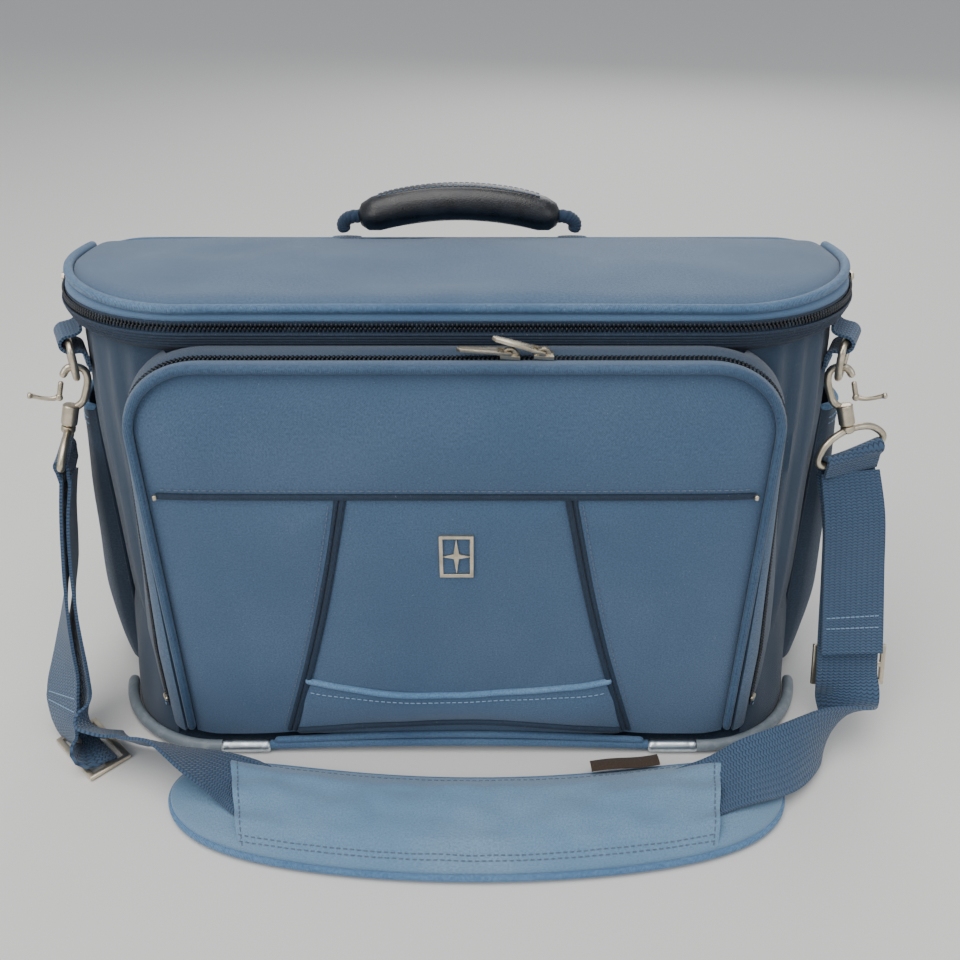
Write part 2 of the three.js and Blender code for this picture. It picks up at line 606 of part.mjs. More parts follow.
function cylinderZ(x, radius, z0, z1, sides = 12) {
  const made = new THREE.CylinderGeometry(radius, radius, z1 - z0, sides).rotateX(Math.PI / 2);
  return solid(made.translate(x, 0, (z0 + z1) / 2));
}
function cylinderY(x, z, radius, y0, y1, sides = 10) {
  const made = new THREE.CylinderGeometry(radius, radius, y1 - y0, sides);
  return solid(made.translate(x, (y0 + y1) / 2, z));
}
function ringTab() {
  const stand = 1.6; // the panel is curved, so the tab's patch stands a little off it
  const half = TAB_WIDTH / 2;
  const patch = block(stand, stand + 3, -half, half, RING_Z - 16, RING_Z + 8);
  const loop = cylinderY(RING_OUT, RING_Z, RING_WIRE + 2.6, -half, half, 12);
  const web = block(stand, RING_OUT, -half, half, RING_Z - 1.5, RING_Z + 4);
  const hole = cylinderY(RING_OUT, RING_Z, RING_WIRE + 0.7, -TAB_WIDTH, TAB_WIDTH, 12);
  return patch.add(web).add(loop).subtract(hole);
}
function dRing() {
  const w = RING_WIDTH / 2;
  const right = [
    [w - 1, RING_Z],
    [w + 1.5, RING_Z - 3],
    [w, RING_Z - 12],
    [8, ringFoot + 2.5],
  ];
  const points = [
    V(0, 0, RING_Z),
    ...right.map(([y, z]) => V(0, y, z)),
    V(0, 0, ringFoot),
    ...right.reverse().map(([y, z]) => V(0, -y, z)),
  ];
  return wireLoop(points, RING_WIRE, 28).translate(RING_OUT, 0, 0);
}

// The snap hook's own frame starts at the middle of the D-ring's lower wire and leans out with the hook.
const HOOK_WIRE = 2.2;
const HOOK_BACK = -6.5; // fixed leg
const HOOK_FRONT = 7.5; // gate
const HOOK_MID = (HOOK_BACK + HOOK_FRONT) / 2;
const ARCH_Z = RING_WIRE + HOOK_WIRE + 1.6;
const GATE_Z = -14;
const BARREL_TOP = -18;
const BARREL_LOW = -31;
const BARREL_RADIUS = 5;
const POST_RADIUS = 2.5;
const EYE_TOP = -35;
const EYE_LOW = -51;
function hookBody() {
  const route = [
    V(HOOK_MID - 1, 0, BARREL_TOP - 3),
    V(HOOK_BACK + 1.2, 0, BARREL_TOP + 2),
    V(HOOK_BACK, 0, -9),
    V(HOOK_BACK, 0, -1),
    V(HOOK_MID - 4.5, 0, ARCH_Z - 1.5),
    V(HOOK_MID, 0, ARCH_Z),
    V(HOOK_MID + 4.5, 0, ARCH_Z - 1.5),
    V(HOOK_FRONT, 0, -1.5),
  ];
  const barrel = cylinderZ(HOOK_MID, BARREL_RADIUS, BARREL_LOW, BARREL_TOP);
  const bore = cylinderZ(HOOK_MID, POST_RADIUS + 0.4, BARREL_LOW - 1, BARREL_TOP - 4);
  return solid(bar(route, HOOK_WIRE, 20)).add(barrel).subtract(bore);
}
// The spring gate: pivot eye, blade up to the hook's nose and a thumb lever that stands out.
function hookGate() {
  const pivot = cylinderY(HOOK_FRONT, GATE_Z, 2, -2, 2);
  const blade = block(HOOK_FRONT - 1.3, HOOK_FRONT + 1.3, -1.6, 1.6, GATE_Z, -4);
  const lever = [V(HOOK_FRONT, 0, GATE_Z), V(HOOK_FRONT + 9, 0, GATE_Z - 1.5), V(HOOK_FRONT + 17, 0, GATE_Z - 0.5)];
  return pivot.add(blade).add(solid(bar(lever, 1.6, 5)));
}
// The swivel eye: a post up into the barrel and a wide loop for the webbing.
function swivelEye() {
  const w = EYE_INSIDE / 2 + EYE_WIRE;
  const right = [
    [w - 3, EYE_LOW],
    [w, EYE_LOW + 4],
    [w - 6, EYE_TOP - 4],
    [6, EYE_TOP],
  ];
  const points = [
    V(0, 0, EYE_LOW),
    ...right.map(([y, z]) => V(0, y, z)),
    ...right.reverse().map(([y, z]) => V(0, -y, z)),
  ];
  const collar = cylinderZ(0, 4.2, EYE_TOP - 2, BARREL_LOW - GAP);
  const post = cylinderZ(0, POST_RADIUS, EYE_TOP, BARREL_TOP - 4.5);
  return solid(wireLoop(points, EYE_WIRE, 32)).add(collar).add(post);
}

const HOOK_LEAN = 18; // degrees out of upright
const EYE_TURN = { left: -13, right: -45 }; // degrees about the swivel, from lying along the panel
const eye = {};
for (const [name, side] of [["left", -1], ["right", 1]]) {
  const place = new THREE.Group();
  place.position.set(side * ringX, RING_Y, 0);
  place.rotation.z = side > 0 ? -ringAngle : Math.PI + ringAngle;
  bag.add(place);
  add(`ring_tab_${name}`, ringTab(), STRAP, place);
  add(`d_ring_${name}`, dRing(), METAL, place);
  const lean = new THREE.Group();
  lean.position.set(RING_OUT, 0, ringFoot);
  lean.rotation.y = THREE.MathUtils.degToRad(-HOOK_LEAN);
  place.add(lean);
  add(`hook_${name}`, hookBody(), METAL, lean);
  add(`hook_gate_${name}`, hookGate(), METAL, lean);
  const turn = new THREE.Group();
  turn.position.x = HOOK_MID;
  turn.rotation.z = THREE.MathUtils.degToRad(EYE_TURN[name]);
  lean.add(turn);
  add(`swivel_eye_${name}`, swivelEye(), METAL, turn);
  bag.updateMatrixWorld(true);
  const low = turn.localToWorld(V(0, 0, EYE_LOW));
  eye[name] = {
    low,
    across: turn.localToWorld(V(0, 1, EYE_LOW)).sub(low),
    out: turn.localToWorld(V(1, 0, EYE_LOW)).sub(low),
  };
}

// ---------- shoulder strap ----------
// A smooth run of stations through hand-placed ones: each is a place and the direction of the strap's width.
function smoothStations(stations, count) {
  const places = new THREE.CatmullRomCurve3(stations.map((s) => s.at), false, "centripetal");
  const widths = new THREE.CatmullRomCurve3(stations.map((s) => s.across), false, "centripetal");
  return Array.from({ length: count + 1 }, (_, i) => ({
    at: places.getPoint(i / count),
    across: widths.getPoint(i / count),
  }));
}
// Its ends move with the bag's ends, its hanging part with the eyes, and a tilted strap rises as it widens.
const STRAP_SPREAD = (BAG_WIDTH - 440) / 2;
const EYE_REST = V(235.77, -30.25, 174.64); // where the right eye's lower bar hangs at the sizes above
const HANG_LOW = 80; // the strap's course below this height doesn't depend on the eyes
const HANG_HIGH = 165;
const S = (x, y, z, a, b, c) => {
  const side = Math.sign(x);
  const moved = eye[side < 0 ? "left" : "right"].low.clone().sub(V(side * EYE_REST.x, EYE_REST.y, EYE_REST.z));
  const hang = THREE.MathUtils.clamp((z - HANG_LOW) / (HANG_HIGH - HANG_LOW), 0, 1);
  const out = THREE.MathUtils.clamp((Math.abs(x) - 130) / 65, 0, 1) * (1 - hang);
  const across = V(a, b, c).normalize();
  const lift = 0.7 * Math.abs(across.z) * (WEBBING - 38);
  return { at: V(x + side * out * STRAP_SPREAD, y, z + lift).addScaledVector(moved, hang), across };
};
// Where a layer of webbing leaves an eye: under its lower bar, out from its middle by a distance.
const underEye = ({ low, across, out }, distance, turn) => ({
  at: low.clone().addScaledVector(out, distance).add(V(0, 0, -EYE_WIRE - 9)),
  across: across.clone().multiplyScalar(turn),
});

// The slide adjusters: a frame with a middle bar, its length along X and its height along Y.
const ADJUSTER_LENGTH = WEBBING + 8;
const ADJUSTER_HEIGHT = 27;
const ADJUSTER_THICK = 2.6;
function adjuster() {
  const rect = (w, h, y) => [[-w, y - h], [w, y - h], [w, y + h], [-w, y + h]].map((p) => new THREE.Vector2(...p));
  const frame = new THREE.Shape(rect(ADJUSTER_LENGTH / 2, ADJUSTER_HEIGHT / 2, 0));
  const slotHalf = ADJUSTER_LENGTH / 2 - 3;
  for (const y of [-5.75, 5.75]) frame.holes.push(new THREE.Path(rect(slotHalf, 4.25, y)));
  const made = new THREE.ExtrudeGeometry(frame, { depth: ADJUSTER_THICK, bevelEnabled: false });
  return made.translate(0, 0, -ADJUSTER_THICK / 2);
}
function placeAdjuster(name, at, across, up) {
  const x = across.clone().normalize();
  const y = up.clone().projectOnPlane(x).normalize();
  const basis = new THREE.Matrix4().makeBasis(x, y, x.clone().cross(y)).setPosition(at);
  add(name, adjuster(), METAL).applyMatrix4(basis);
}
placeAdjuster("adjuster_left", V(-231 - STRAP_SPREAD, -101, 1.8), V(0.72, -0.69, 0), V(0.69, 0.72, 0));
placeAdjuster("adjuster_right", V(247 + STRAP_SPREAD, -70, 44), V(1, 0, 0), V(0, 0.33, 0.94));

// The main run hangs on the inside, passes each adjuster and lies on the table and the pad between them.
const PAD_X = 11; // middle of the shoulder pad
const PAD_HALF = 182;
const padCentreY = (x) => -162 + 25 * ((x - PAD_X) / PAD_HALF) ** 2;
const PAD_HEIGHT = 9;
const RUN_Z = PAD_HEIGHT + 3.2; // the webbing on the pad, in its sleeve
const EYE_LAYER = 2.4; // half the distance between the two layers under an eye
const leftRun = [
  underEye(eye.left, -EYE_LAYER, -1),
  S(-236, -40, 140, -0.24, 0.97, 0),
  S(-238, -50, 108, -0.26, 0.97, 0),
  S(-240, -61, 80, -0.4, 0.9, 0),
  S(-241, -73, 54, -0.6, 0.8, 0),
  S(-239, -87, 32, -0.72, 0.68, -0.1),
  S(-230, -99, 22, -0.65, 0.7, -0.35),
  S(-217, -107, 21.5, -0.4, 0.75, -0.5),
  S(-200, -111, 19, -0.2, 0.6, -0.75),
  S(-180, -117, 23, -0.05, 0.65, -0.75),
  S(-155, -128, 20, 0, 0.9, -0.42),
  S(-130, -137, RUN_Z + 1, 0, 1, -0.05),
];
const padRun = [-105, -60, -20, 25, 70, 115].map((x) => S(x, padCentreY(x), RUN_Z, 0, 1, 0));
const rightRun = [
  S(150, -141, RUN_Z + 1, 0, 1, 0.05),
  S(172, -135, 19, 0.1, 0.95, 0.3),
  S(195, -127, 21, 0.1, 0.75, 0.63),
  S(218, -113, 23, 0.1, 0.4, 0.9),
  S(237, -97, 24, 0.35, -0.2, 0.85),
  S(246, -85, 30, 0.85, -0.3, 0.25),
  S(247, -76.5, 42, 1, 0, 0),
  S(245.5, -64, 71, 1, 0.02, 0),
  S(242, -54, 106, 1, 0.08, 0.02),
  S(239, -44, 140, 0.98, 0.15, 0.1),
  underEye(eye.right, -EYE_LAYER, 1),
];
const mainRun = smoothStations([...leftRun, ...padRun, ...rightRun], 84);
add("strap_main", ribbon(mainRun, WEBBING, WEB_THICK), STRAP);

// Each return layer comes down from the eye on the other side of it and ends at the adjuster.
const leftReturn = [
  underEye(eye.left, EYE_LAYER, -1),
  S(-243, -43, 140, -0.24, 0.97, 0),
  S(-246, -53, 108, -0.26, 0.97, 0),
  S(-248, -65, 80, -0.4, 0.9, 0),
  S(-249, -77, 54, -0.6, 0.8, 0),
  S(-248, -89, 36, -0.7, 0.7, 0),
  S(-247, -95, 26, -0.7, 0.7, 0),
];
const rightReturn = [
  underEye(eye.right, EYE_LAYER, 1),
  S(239, -51, 140, 0.98, 0.15, 0.1),
  S(242, -61, 106, 1, 0.08, 0.02),
  S(245.5, -71, 76, 1, 0.02, 0),
  S(247, -77, 58, 1, 0, 0),
];
add("strap_return_left", ribbon(smoothStations(leftReturn, 18), WEBBING, WEB_THICK), STRAP);
add("strap_return_right", ribbon(smoothStations(rightReturn, 14), WEBBING, WEB_THICK), STRAP);

// Shoulder pad: a crescent cushion on the table, with a sleeve over it that the webbing runs through.
const PAD_WIDTH = 68;
const PAD_COVER_HALF = 142; // half the length of the sleeve
const PAD_COVER_TOP = 20;
function crescent(halfLength, width, blunt) {
  const count = 14;
  const edge = (side) =>
    Array.from({ length: count + 1 }, (_, i) => {
      const u = ((2 * i) / count - 1) * -side;
      const taper = Math.max(0.35, (1 - Math.abs(u) ** blunt) ** 0.5);
      const x = PAD_X + u * halfLength;
      return new THREE.Vector2(x, padCentreY(x) + side * (width / 2) * taper);
    });
  return [...edge(-1), ...edge(1)];
}
const crescentSolid = (outline, z0, z1) => solid(loft([ringAt(outline, z0), ringAt(outline, z1)]));
add("pad_cushion", crescentSolid(crescent(PAD_HALF, PAD_WIDTH, 6), 0, PAD_HEIGHT), CLOTH);
const cover = crescentSolid(crescent(PAD_COVER_HALF, PAD_WIDTH - 6, 90), PAD_HEIGHT + GAP, PAD_COVER_TOP);
const tunnel = crescentSolid(crescent(PAD_COVER_HALF + 12, WEBBING + 15, 90), PAD_HEIGHT - 1, PAD_COVER_TOP - 3);
add("pad_sleeve", cover.subtract(tunnel), CLOTH);
const LABEL_X = 90;
const labelY = padCentreY(LABEL_X) + PAD_WIDTH / 2;
add("pad_label", block(LABEL_X - 20, LABEL_X + 20, labelY + 2 + GAP, labelY + 7, 1, 8), LABEL);

export default bag;
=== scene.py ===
import math

import bpy
from mathutils import Matrix, Vector, noise


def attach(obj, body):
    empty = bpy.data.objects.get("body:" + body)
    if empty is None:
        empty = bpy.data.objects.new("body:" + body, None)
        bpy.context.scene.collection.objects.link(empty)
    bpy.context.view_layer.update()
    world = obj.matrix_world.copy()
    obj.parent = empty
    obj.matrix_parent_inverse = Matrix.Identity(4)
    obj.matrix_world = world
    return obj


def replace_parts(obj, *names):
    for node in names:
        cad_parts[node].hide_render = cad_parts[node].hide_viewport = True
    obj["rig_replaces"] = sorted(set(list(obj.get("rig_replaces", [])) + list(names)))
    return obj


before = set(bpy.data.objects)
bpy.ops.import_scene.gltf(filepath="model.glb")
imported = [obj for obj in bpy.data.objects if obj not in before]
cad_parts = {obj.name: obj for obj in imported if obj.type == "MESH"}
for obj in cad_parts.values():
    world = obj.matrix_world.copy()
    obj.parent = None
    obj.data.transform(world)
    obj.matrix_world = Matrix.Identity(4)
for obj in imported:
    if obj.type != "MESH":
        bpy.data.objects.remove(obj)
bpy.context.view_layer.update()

# ---------- Camera, floor and studio lights ----------
# The camera looks down at the bag's front, standing a little to its right.
# The floor is pale and plain, and large soft panels of light hang over and around it.
CAMERA_PLACE = (0.013, -0.525, 0.460)
CAMERA_PITCH = math.radians(31.5)
CAMERA_LENS = 35.7
FLOOR_SPAN = 24.0


def clear_choice():
    """Leaves nothing selected, so that an operator acts only on what comes next."""
    if bpy.context.object and bpy.context.object.mode != "OBJECT":
        bpy.ops.object.mode_set(mode="OBJECT")
    bpy.ops.object.select_all(action="DESELECT")


clear_choice()
bpy.ops.object.camera_add(location=CAMERA_PLACE, rotation=(math.pi / 2 - CAMERA_PITCH, 0, 0))
camera = bpy.context.object
camera.name = "camera"
camera.data.lens = CAMERA_LENS
camera.data.sensor_width = 36
camera.data.clip_start = 0.01
bpy.context.scene.camera = camera

clear_choice()
bpy.ops.mesh.primitive_plane_add(size=FLOOR_SPAN, location=(0, 0, -0.0004))
floor = bpy.context.object
floor.name = "floor"
floor_finish = bpy.data.materials.new("floor_finish")
floor_finish.use_nodes = True
floor_shader = floor_finish.node_tree.nodes["Principled BSDF"]
floor_shader.inputs["Base Color"].default_value = (0.74, 0.735, 0.72, 1)
floor_shader.inputs["Roughness"].default_value = 0.75
floor.data.materials.append(floor_finish)

LIGHTS = [  # name, place, aim, size, watts, colour
    ("overhead_light", (-0.25, -0.35, 1.75), (0, 0, 0.1), 1.6, 27, (1.0, 0.975, 0.94)),
    ("front_left_light", (-1.5, -1.7, 1.15), (0, 0, 0.12), 1.3, 16, (1.0, 0.98, 0.95)),
    ("front_right_light", (1.7, -1.3, 0.95), (0, 0, 0.12), 1.2, 7, (0.97, 0.985, 1.0)),
    ("rear_light", (0.5, 1.9, 1.4), (0, 0, 0.15), 1.4, 16, (1.0, 0.99, 0.97)),
]
for name, place, aim, size, watts, colour in LIGHTS:
    clear_choice()
    bpy.ops.object.light_add(type="AREA", location=place)
    light = bpy.context.object
    light.name = name
    light.data.size = size
    light.data.energy = watts
    light.data.color = colour
    light.rotation_euler = (Vector(aim) - Vector(place)).to_track_quat("-Z", "Y").to_euler()
world = bpy.data.worlds.new("studio_air")
world.use_nodes = True
world.node_tree.nodes["Background"].inputs["Color"].default_value = (0.86, 0.89, 0.93, 1)
world.node_tree.nodes["Background"].inputs["Strength"].default_value = 0.52
bpy.context.scene.world = world

# ---------- Shoulder strap ----------
# One long run of 38 mm ribbed nylon webbing. It hangs from the left eye, passes its adjuster, crosses
# the table and the shoulder pad, and climbs to the right eye. A return layer is sewn on at each end.
STRAP_WIDTH = 38
STRAP_THICK = 1.8
EYE_WIRE = 2.2
EYE_LOW = -51
EYE_LAYER = 2.4
RING_X, RING_Y, RING_OUT, RING_FOOT = 211.44, -18, 11, 223
RING_ANGLE = math.asin(0.45)
HOOK_LEAN = math.radians(18)
EYE_TURN = {"left": math.radians(-13), "right": math.radians(-45)}
SIDES = (("left", -1), ("right", 1))
MM = 0.001


def mm(x, y, z):
    """A place in millimetres, in metres."""
    return Vector((x, y, z)) * MM


def turned(angle, axis):
    return Matrix.Rotation(angle, 4, axis)


def tab_frame(side):
    """Millimetre frame of one side's ring tab: X out of the panel, Y along it, Z up."""
    angle = -RING_ANGLE if side > 0 else math.pi + RING_ANGLE
    return Matrix.Translation((side * RING_X, RING_Y, 0)) @ turned(angle, "Z")


def hook_frame(side):
    return tab_frame(side) @ Matrix.Translation((RING_OUT, 0, RING_FOOT)) @ turned(-HOOK_LEAN, "Y")


def eye_frame(name, side):
    return hook_frame(side) @ Matrix.Translation((0.5, 0, 0)) @ turned(EYE_TURN[name], "Z")


def smooth_at(points, t, closed=False):
    """The place at t, from 0 to 1, on a centripetal Catmull-Rom curve through the points."""
    count = len(points)
    p = (count - (0 if closed else 1)) * t
    k = math.floor(p)
    w = p - k
    if closed:
        k %= count
    elif k >= count - 1:
        k, w = count - 2, 1.0
    p1, p2 = points[k % count], points[(k + 1) % count]
    p0 = points[(k - 1) % count] if closed or k > 0 else points[0] * 2 - points[1]
    p3 = points[(k + 2) % count] if closed or k + 2 < count else points[-1] * 2 - points[-2]
    d1 = (p2 - p1).length ** 0.5 or 1.0
    d0 = (p1 - p0).length ** 0.5 or d1
    d2 = (p3 - p2).length ** 0.5 or d1
    t1 = ((p1 - p0) / d0 - (p2 - p0) / (d0 + d1) + (p2 - p1) / d1) * d1
    t2 = ((p2 - p1) / d1 - (p3 - p1) / (d1 + d2) + (p3 - p2) / d2) * d1
    c2 = (p2 - p1) * 3 - t1 * 2 - t2
    c3 = (p1 - p2) * 2 + t1 + t2
    return p1 + t1 * w + c2 * w**2 + c3 * w**3


def lengths_along(points):
    """The distance along a chain of points at each of them."""
    run = [0.0]
    for a, b in zip(points, points[1:]):
        run.append(run[-1] + (b - a).length)
    return run


def only(piece):
    """Leaves one piece selected and active."""
    clear_choice()
    piece.select_set(True)
    bpy.context.view_layer.objects.active = piece


def apply_modifier(piece, name, kind, **settings):
    """Puts a modifier on the active piece and makes its result the mesh."""
    step = piece.modifiers.new(name, kind)
    for key, value in settings.items():
        setattr(step, key, value)
    bpy.ops.object.modifier_apply(modifier=step.name)


def edit_all(*steps):
    """Runs mesh operators on the whole of the active piece, then turns its normals outwards."""
    bpy.ops.object.mode_set(mode="EDIT")
    bpy.ops.mesh.select_all(action="SELECT")
    for step, settings in steps:
        step(**settings)
    bpy.ops.mesh.normals_make_consistent(inside=False)
    bpy.ops.object.mode_set(mode="OBJECT")


def shaped_grid(name, columns, rows, place, size=(1, 1), wrap=False):
    """A grid whose points move to place(u, v), in millimetres, with a UV map in metres.
    With wrap, edges that meet are merged, so the sheet closes into a tube or a bag."""
    clear_choice()
    bpy.ops.mesh.primitive_grid_add(x_subdivisions=columns, y_subdivisions=rows, size=2)
    piece = bpy.context.object
    piece.name = piece.data.name = name
    mesh = piece.data
    spots = [((p.co.x + 1) / 2, (p.co.y + 1) / 2) for p in mesh.vertices]
    for point, (u, v) in zip(mesh.vertices, spots):
        point.co = place(u, v) * MM
    flat = mesh.uv_layers.active.data
    for loop in mesh.loops:
        u, v = spots[loop.vertex_index]
        flat[loop.index].uv = (u * size[0], v * size[1])
    if wrap:
        edit_all((bpy.ops.mesh.remove_doubles, {"threshold": 0.00002}))
    bpy.ops.object.shade_smooth()
    return piece


def thicken(piece, thick, offset=-1.0, inside=0):
    """Gives a sheet its thickness in millimetres. inside is the step to the material of the inner face."""
    only(piece)
    apply_modifier(piece, "wall", "SOLIDIFY", thickness=thick * MM, offset=offset, material_offset=inside)
    edit_all()
    bpy.ops.object.shade_smooth_by_angle(angle=math.radians(50))
    return piece


def stations_through(placed, count):
    """Evenly numbered stations (place, direction of the width) through given ones."""
    places = [Vector(s[:3]) if len(s) == 6 else s[0] for s in placed]
    widths = [Vector(s[3:]).normalized() if len(s) == 6 else s[1] for s in placed]
    return [(smooth_at(places, i / count), smooth_at(widths, i / count)) for i in range(count + 1)]


def webbing(name, stations, width=STRAP_WIDTH, thick=STRAP_THICK):
    """A woven strip along its stations, with a full selvedge at each edge."""
    run = lengths_along([s[0] for s in stations])
    last = len(stations) - 1

    def place(u, v):
        i = round(u * last)
        at = stations[i][0]
        along = (stations[min(last, i + 1)][0] - stations[max(0, i - 1)][0]).normalized()
        side = stations[i][1] - along * stations[i][1].dot(along)
        return at + side.normalized() * ((v - 0.5) * width)

    strip = shaped_grid(name, last, 10, place, (run[-1] * MM, width * MM))
    flat = strip.data.uv_layers.active.data
    for loop in strip.data.loops:
        u, v = flat[loop.index].uv
        flat[loop.index].uv = (run[round(u / (run[-1] * MM) * last)] * MM, v)
    return thicken(strip, thick, 0.0)


def dress(piece, finish, body, slot, *nodes):
    """Gives a piece its finish, the body it rides and the CAD nodes it stands for. Its slot argument is not used."""
    piece.data.materials.append(finish)
    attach(piece, body)
    if nodes:
        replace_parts(piece, *nodes)
    return piece


def under_eye(name, side, distance, turn):
    """Where a layer of webbing leaves an eye: under its lower bar, out from its middle."""
    place = eye_frame(name, side)
    low = place @ Vector((0, 0, EYE_LOW))
    out = place.to_3x3() @ Vector((1, 0, 0))
    across = place.to_3x3() @ Vector((0, 1, 0))
    return low + out * distance - Vector((0, 0, EYE_WIRE + 9)), across * turn


PAD_X = 11
PAD_HALF = 182


def pad_centre_y(x):
    return -162 + 25 * ((x - PAD_X) / PAD_HALF) ** 2


PAD_RUN_Z = 12.2
main_stations = stations_through(
    [
        under_eye("left", -1, -EYE_LAYER, -1),
        (-236, -40, 140, -0.24, 0.97, 0),
        (-238, -50, 108, -0.26, 0.97, 0),
        (-240, -61, 80, -0.4, 0.9, 0),
        (-241, -73, 54, -0.6, 0.8, 0),
        (-239, -87, 32, -0.72, 0.68, -0.1),
        (-230, -99, 22, -0.65, 0.7, -0.35),
        (-217, -107, 21.5, -0.4, 0.75, -0.5),
        (-200, -111, 19, -0.2, 0.6, -0.75),
        (-180, -117, 23, -0.05, 0.65, -0.75),
        (-155, -128, 20, 0, 0.9, -0.42),
        (-130, -137, PAD_RUN_Z + 1, 0, 1, -0.05),
        *[(x, pad_centre_y(x), PAD_RUN_Z, 0, 1, 0) for x in (-105, -60, -20, 25, 70, 115)],
        (150, -141, PAD_RUN_Z + 1, 0, 1, 0.05),
        (172, -135, 19, 0.1, 0.95, 0.3),
        (195, -127, 21, 0.1, 0.75, 0.63),
        (218, -113, 23, 0.1, 0.4, 0.9),
        (237, -97, 24, 0.35, -0.2, 0.85),
        (244, -85, 30, 0.85, -0.3, 0.25),
        (244.3, -76.5, 42, 1, 0, 0),
        (244, -64, 71, 1, 0.02, 0),
        (242, -54, 106, 1, 0.08, 0.02),
        (239, -44, 140, 0.98, 0.15, 0.1),
        under_eye("right", 1, -EYE_LAYER, 1),
    ],
    168,
)
left_return_stations = stations_through(
    [
        under_eye("left", -1, EYE_LAYER, -1),
        (-239.5, -41.5, 140, -0.24, 0.97, 0),
        (-241.8, -52, 108, -0.26, 0.97, 0),
        (-244.5, -63.5, 80, -0.4, 0.9, 0),
        (-246.5, -76, 54, -0.6, 0.8, 0),
        (-247, -89, 36, -0.7, 0.7, 0),
        (-247, -96, 22, -0.7, 0.7, 0),
        (-241.5, -102.5, 9.5, -0.72, 0.69, 0),
        (-235.5, -104.5, 5.2, -0.72, 0.69, 0),
        (-230.5, -100.5, 4.9, -0.72, 0.69, 0),
        (-227, -96.8, 2.6, -0.72, 0.69, 0),
    ],
    48,
)
right_return_stations = stations_through(
    [
        under_eye("right", 1, EYE_LAYER, 1),
        (239, -47.5, 140, 0.98, 0.15, 0.1),
        (242, -57.5, 106, 1, 0.08, 0.02),
        (244, -68, 76, 1, 0.02, 0),
        (244.5, -76, 58, 1, 0, 0),
    ],
    28,
)
strap_main = webbing("shoulder_strap", main_stations)
strap_left_return = webbing("strap_layer_left", left_return_stations)
strap_right_return = webbing("strap_layer_right", right_return_stations)
folds = []
for name, side, main_end, return_end in (
    ("left", -1, main_stations[0], left_return_stations[0]),
    ("right", 1, main_stations[-1], right_return_stations[0]),
):
    out = eye_frame(name, side).to_3x3() @ Vector((1, 0, 0))
    bar = eye_frame(name, side) @ Vector((0, 0, EYE_LOW))
    round_bar = [(-2.9, -4.5), (-3.3, 0.2), (-2.2, 2.6), (0.0, 3.5), (2.2, 2.6), (3.3, 0.2), (2.9, -4.5)]
    fold_ends = [(bar + out * d + Vector((0, 0, rise)), main_end[1]) for d, rise in round_bar]
    fold = webbing(f"strap_fold_{name}", stations_through([main_end, *fold_ends, return_end], 32))
    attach(fold, "bag")
    folds.append(fold)
for piece, node in (
    (strap_main, "strap_main"),
    (strap_left_return, "strap_return_left"),
    (strap_right_return, "strap_return_right"),
):
    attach(piece, "bag")
    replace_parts(piece, node)


def new_group(name, inputs, outputs):
    """A shader node group with its sockets, its input node and its output node."""
    group = bpy.data.node_groups.new(name, "ShaderNodeTree")
    for label, kind, value in inputs:
        socket = group.interface.new_socket(name=label, in_out="INPUT", socket_type=kind)
        if value is not None:
            socket.default_value = value
    for label, kind in outputs:
        group.interface.new_socket(name=label, in_out="OUTPUT", socket_type=kind)
    return group, group.nodes.new("NodeGroupInput"), group.nodes.new("NodeGroupOutput")


def put(tree, kind, settings=(), **sockets):
    """A node with its settings, and its sockets joined to other sockets or given values."""
    node = tree.nodes.new(kind)
    for key, value in settings:
        setattr(node, key, value)
    for key, value in sockets.items():
        socket = node.inputs[int(key[1:]) if key[0] == "i" and key[1:].isdigit() else key.replace("_", " ")]
        if isinstance(value, bpy.types.NodeSocket):
            tree.links.new(value, socket)
        else:
            socket.default_value = value
    return node


def sums(tree, operation, a, b=0.0):
    return put(tree, "ShaderNodeMath", [("operation", operation)], i0=a, i1=b).outputs[0]


def blend_colours(tree, share, a, b):
    node = put(tree, "ShaderNodeMix", [("data_type", "RGBA")], i0=share)
    for socket, value in ((node.inputs[6], a), (node.inputs[7], b)):
        if isinstance(value, bpy.types.NodeSocket):
            tree.links.new(value, socket)
        else:
            socket.default_value = value
    return node.outputs[2]


def speckle(tree, vector, scale, detail=2.0, roughness=0.5):
    node = put(tree, "ShaderNodeTexNoise", Vector=vector, Scale=scale, Detail=detail, Roughness=roughness)
    return node.outputs["Fac"]


def spread(tree, value, low, high, to_low=0.0, to_high=1.0):
    node = put(tree, "ShaderNodeMapRange", i0=value, i1=low, i2=high, i3=to_low, i4=to_high)
    return node.outputs[0]


# Over-and-under threads at a pitch, along X and Y of the vector given.
weave, weave_in, weave_out = new_group(
    "thread_weave",
    [("Vector", "NodeSocketVector", None), ("Pitch", "NodeSocketFloat", 0.001)],
    [("Height", "NodeSocketFloat"), ("Thread", "NodeSocketFloat")],
)
turns = sums(weave, "DIVIDE", 2 * math.pi, weave_in.outputs["Pitch"])
parted = put(weave, "ShaderNodeSeparateXYZ", i0=weave_in.outputs["Vector"])
waves = [sums(weave, "SINE", sums(weave, "MULTIPLY", parted.outputs[k], turns)) for k in (0, 1)]
crossed = sums(weave, "MULTIPLY", waves[0], waves[1])
slubs = speckle(
    weave, weave_in.outputs["Vector"], sums(weave, "DIVIDE", 0.9, weave_in.outputs["Pitch"]), 2.0, 0.6
)
weave_height = sums(weave, "ADD", sums(weave, "MULTIPLY", crossed, 0.4), sums(weave, "MULTIPLY", slubs, 0.6))
weave.links.new(weave_height, weave_out.inputs["Height"])
thread = sums(weave, "ADD", sums(weave, "MULTIPLY", crossed, 0.34), spread(weave, slubs, 0.3, 0.7, 0.3, 1.0))
weave.links.new(thread, weave_out.inputs["Thread"])

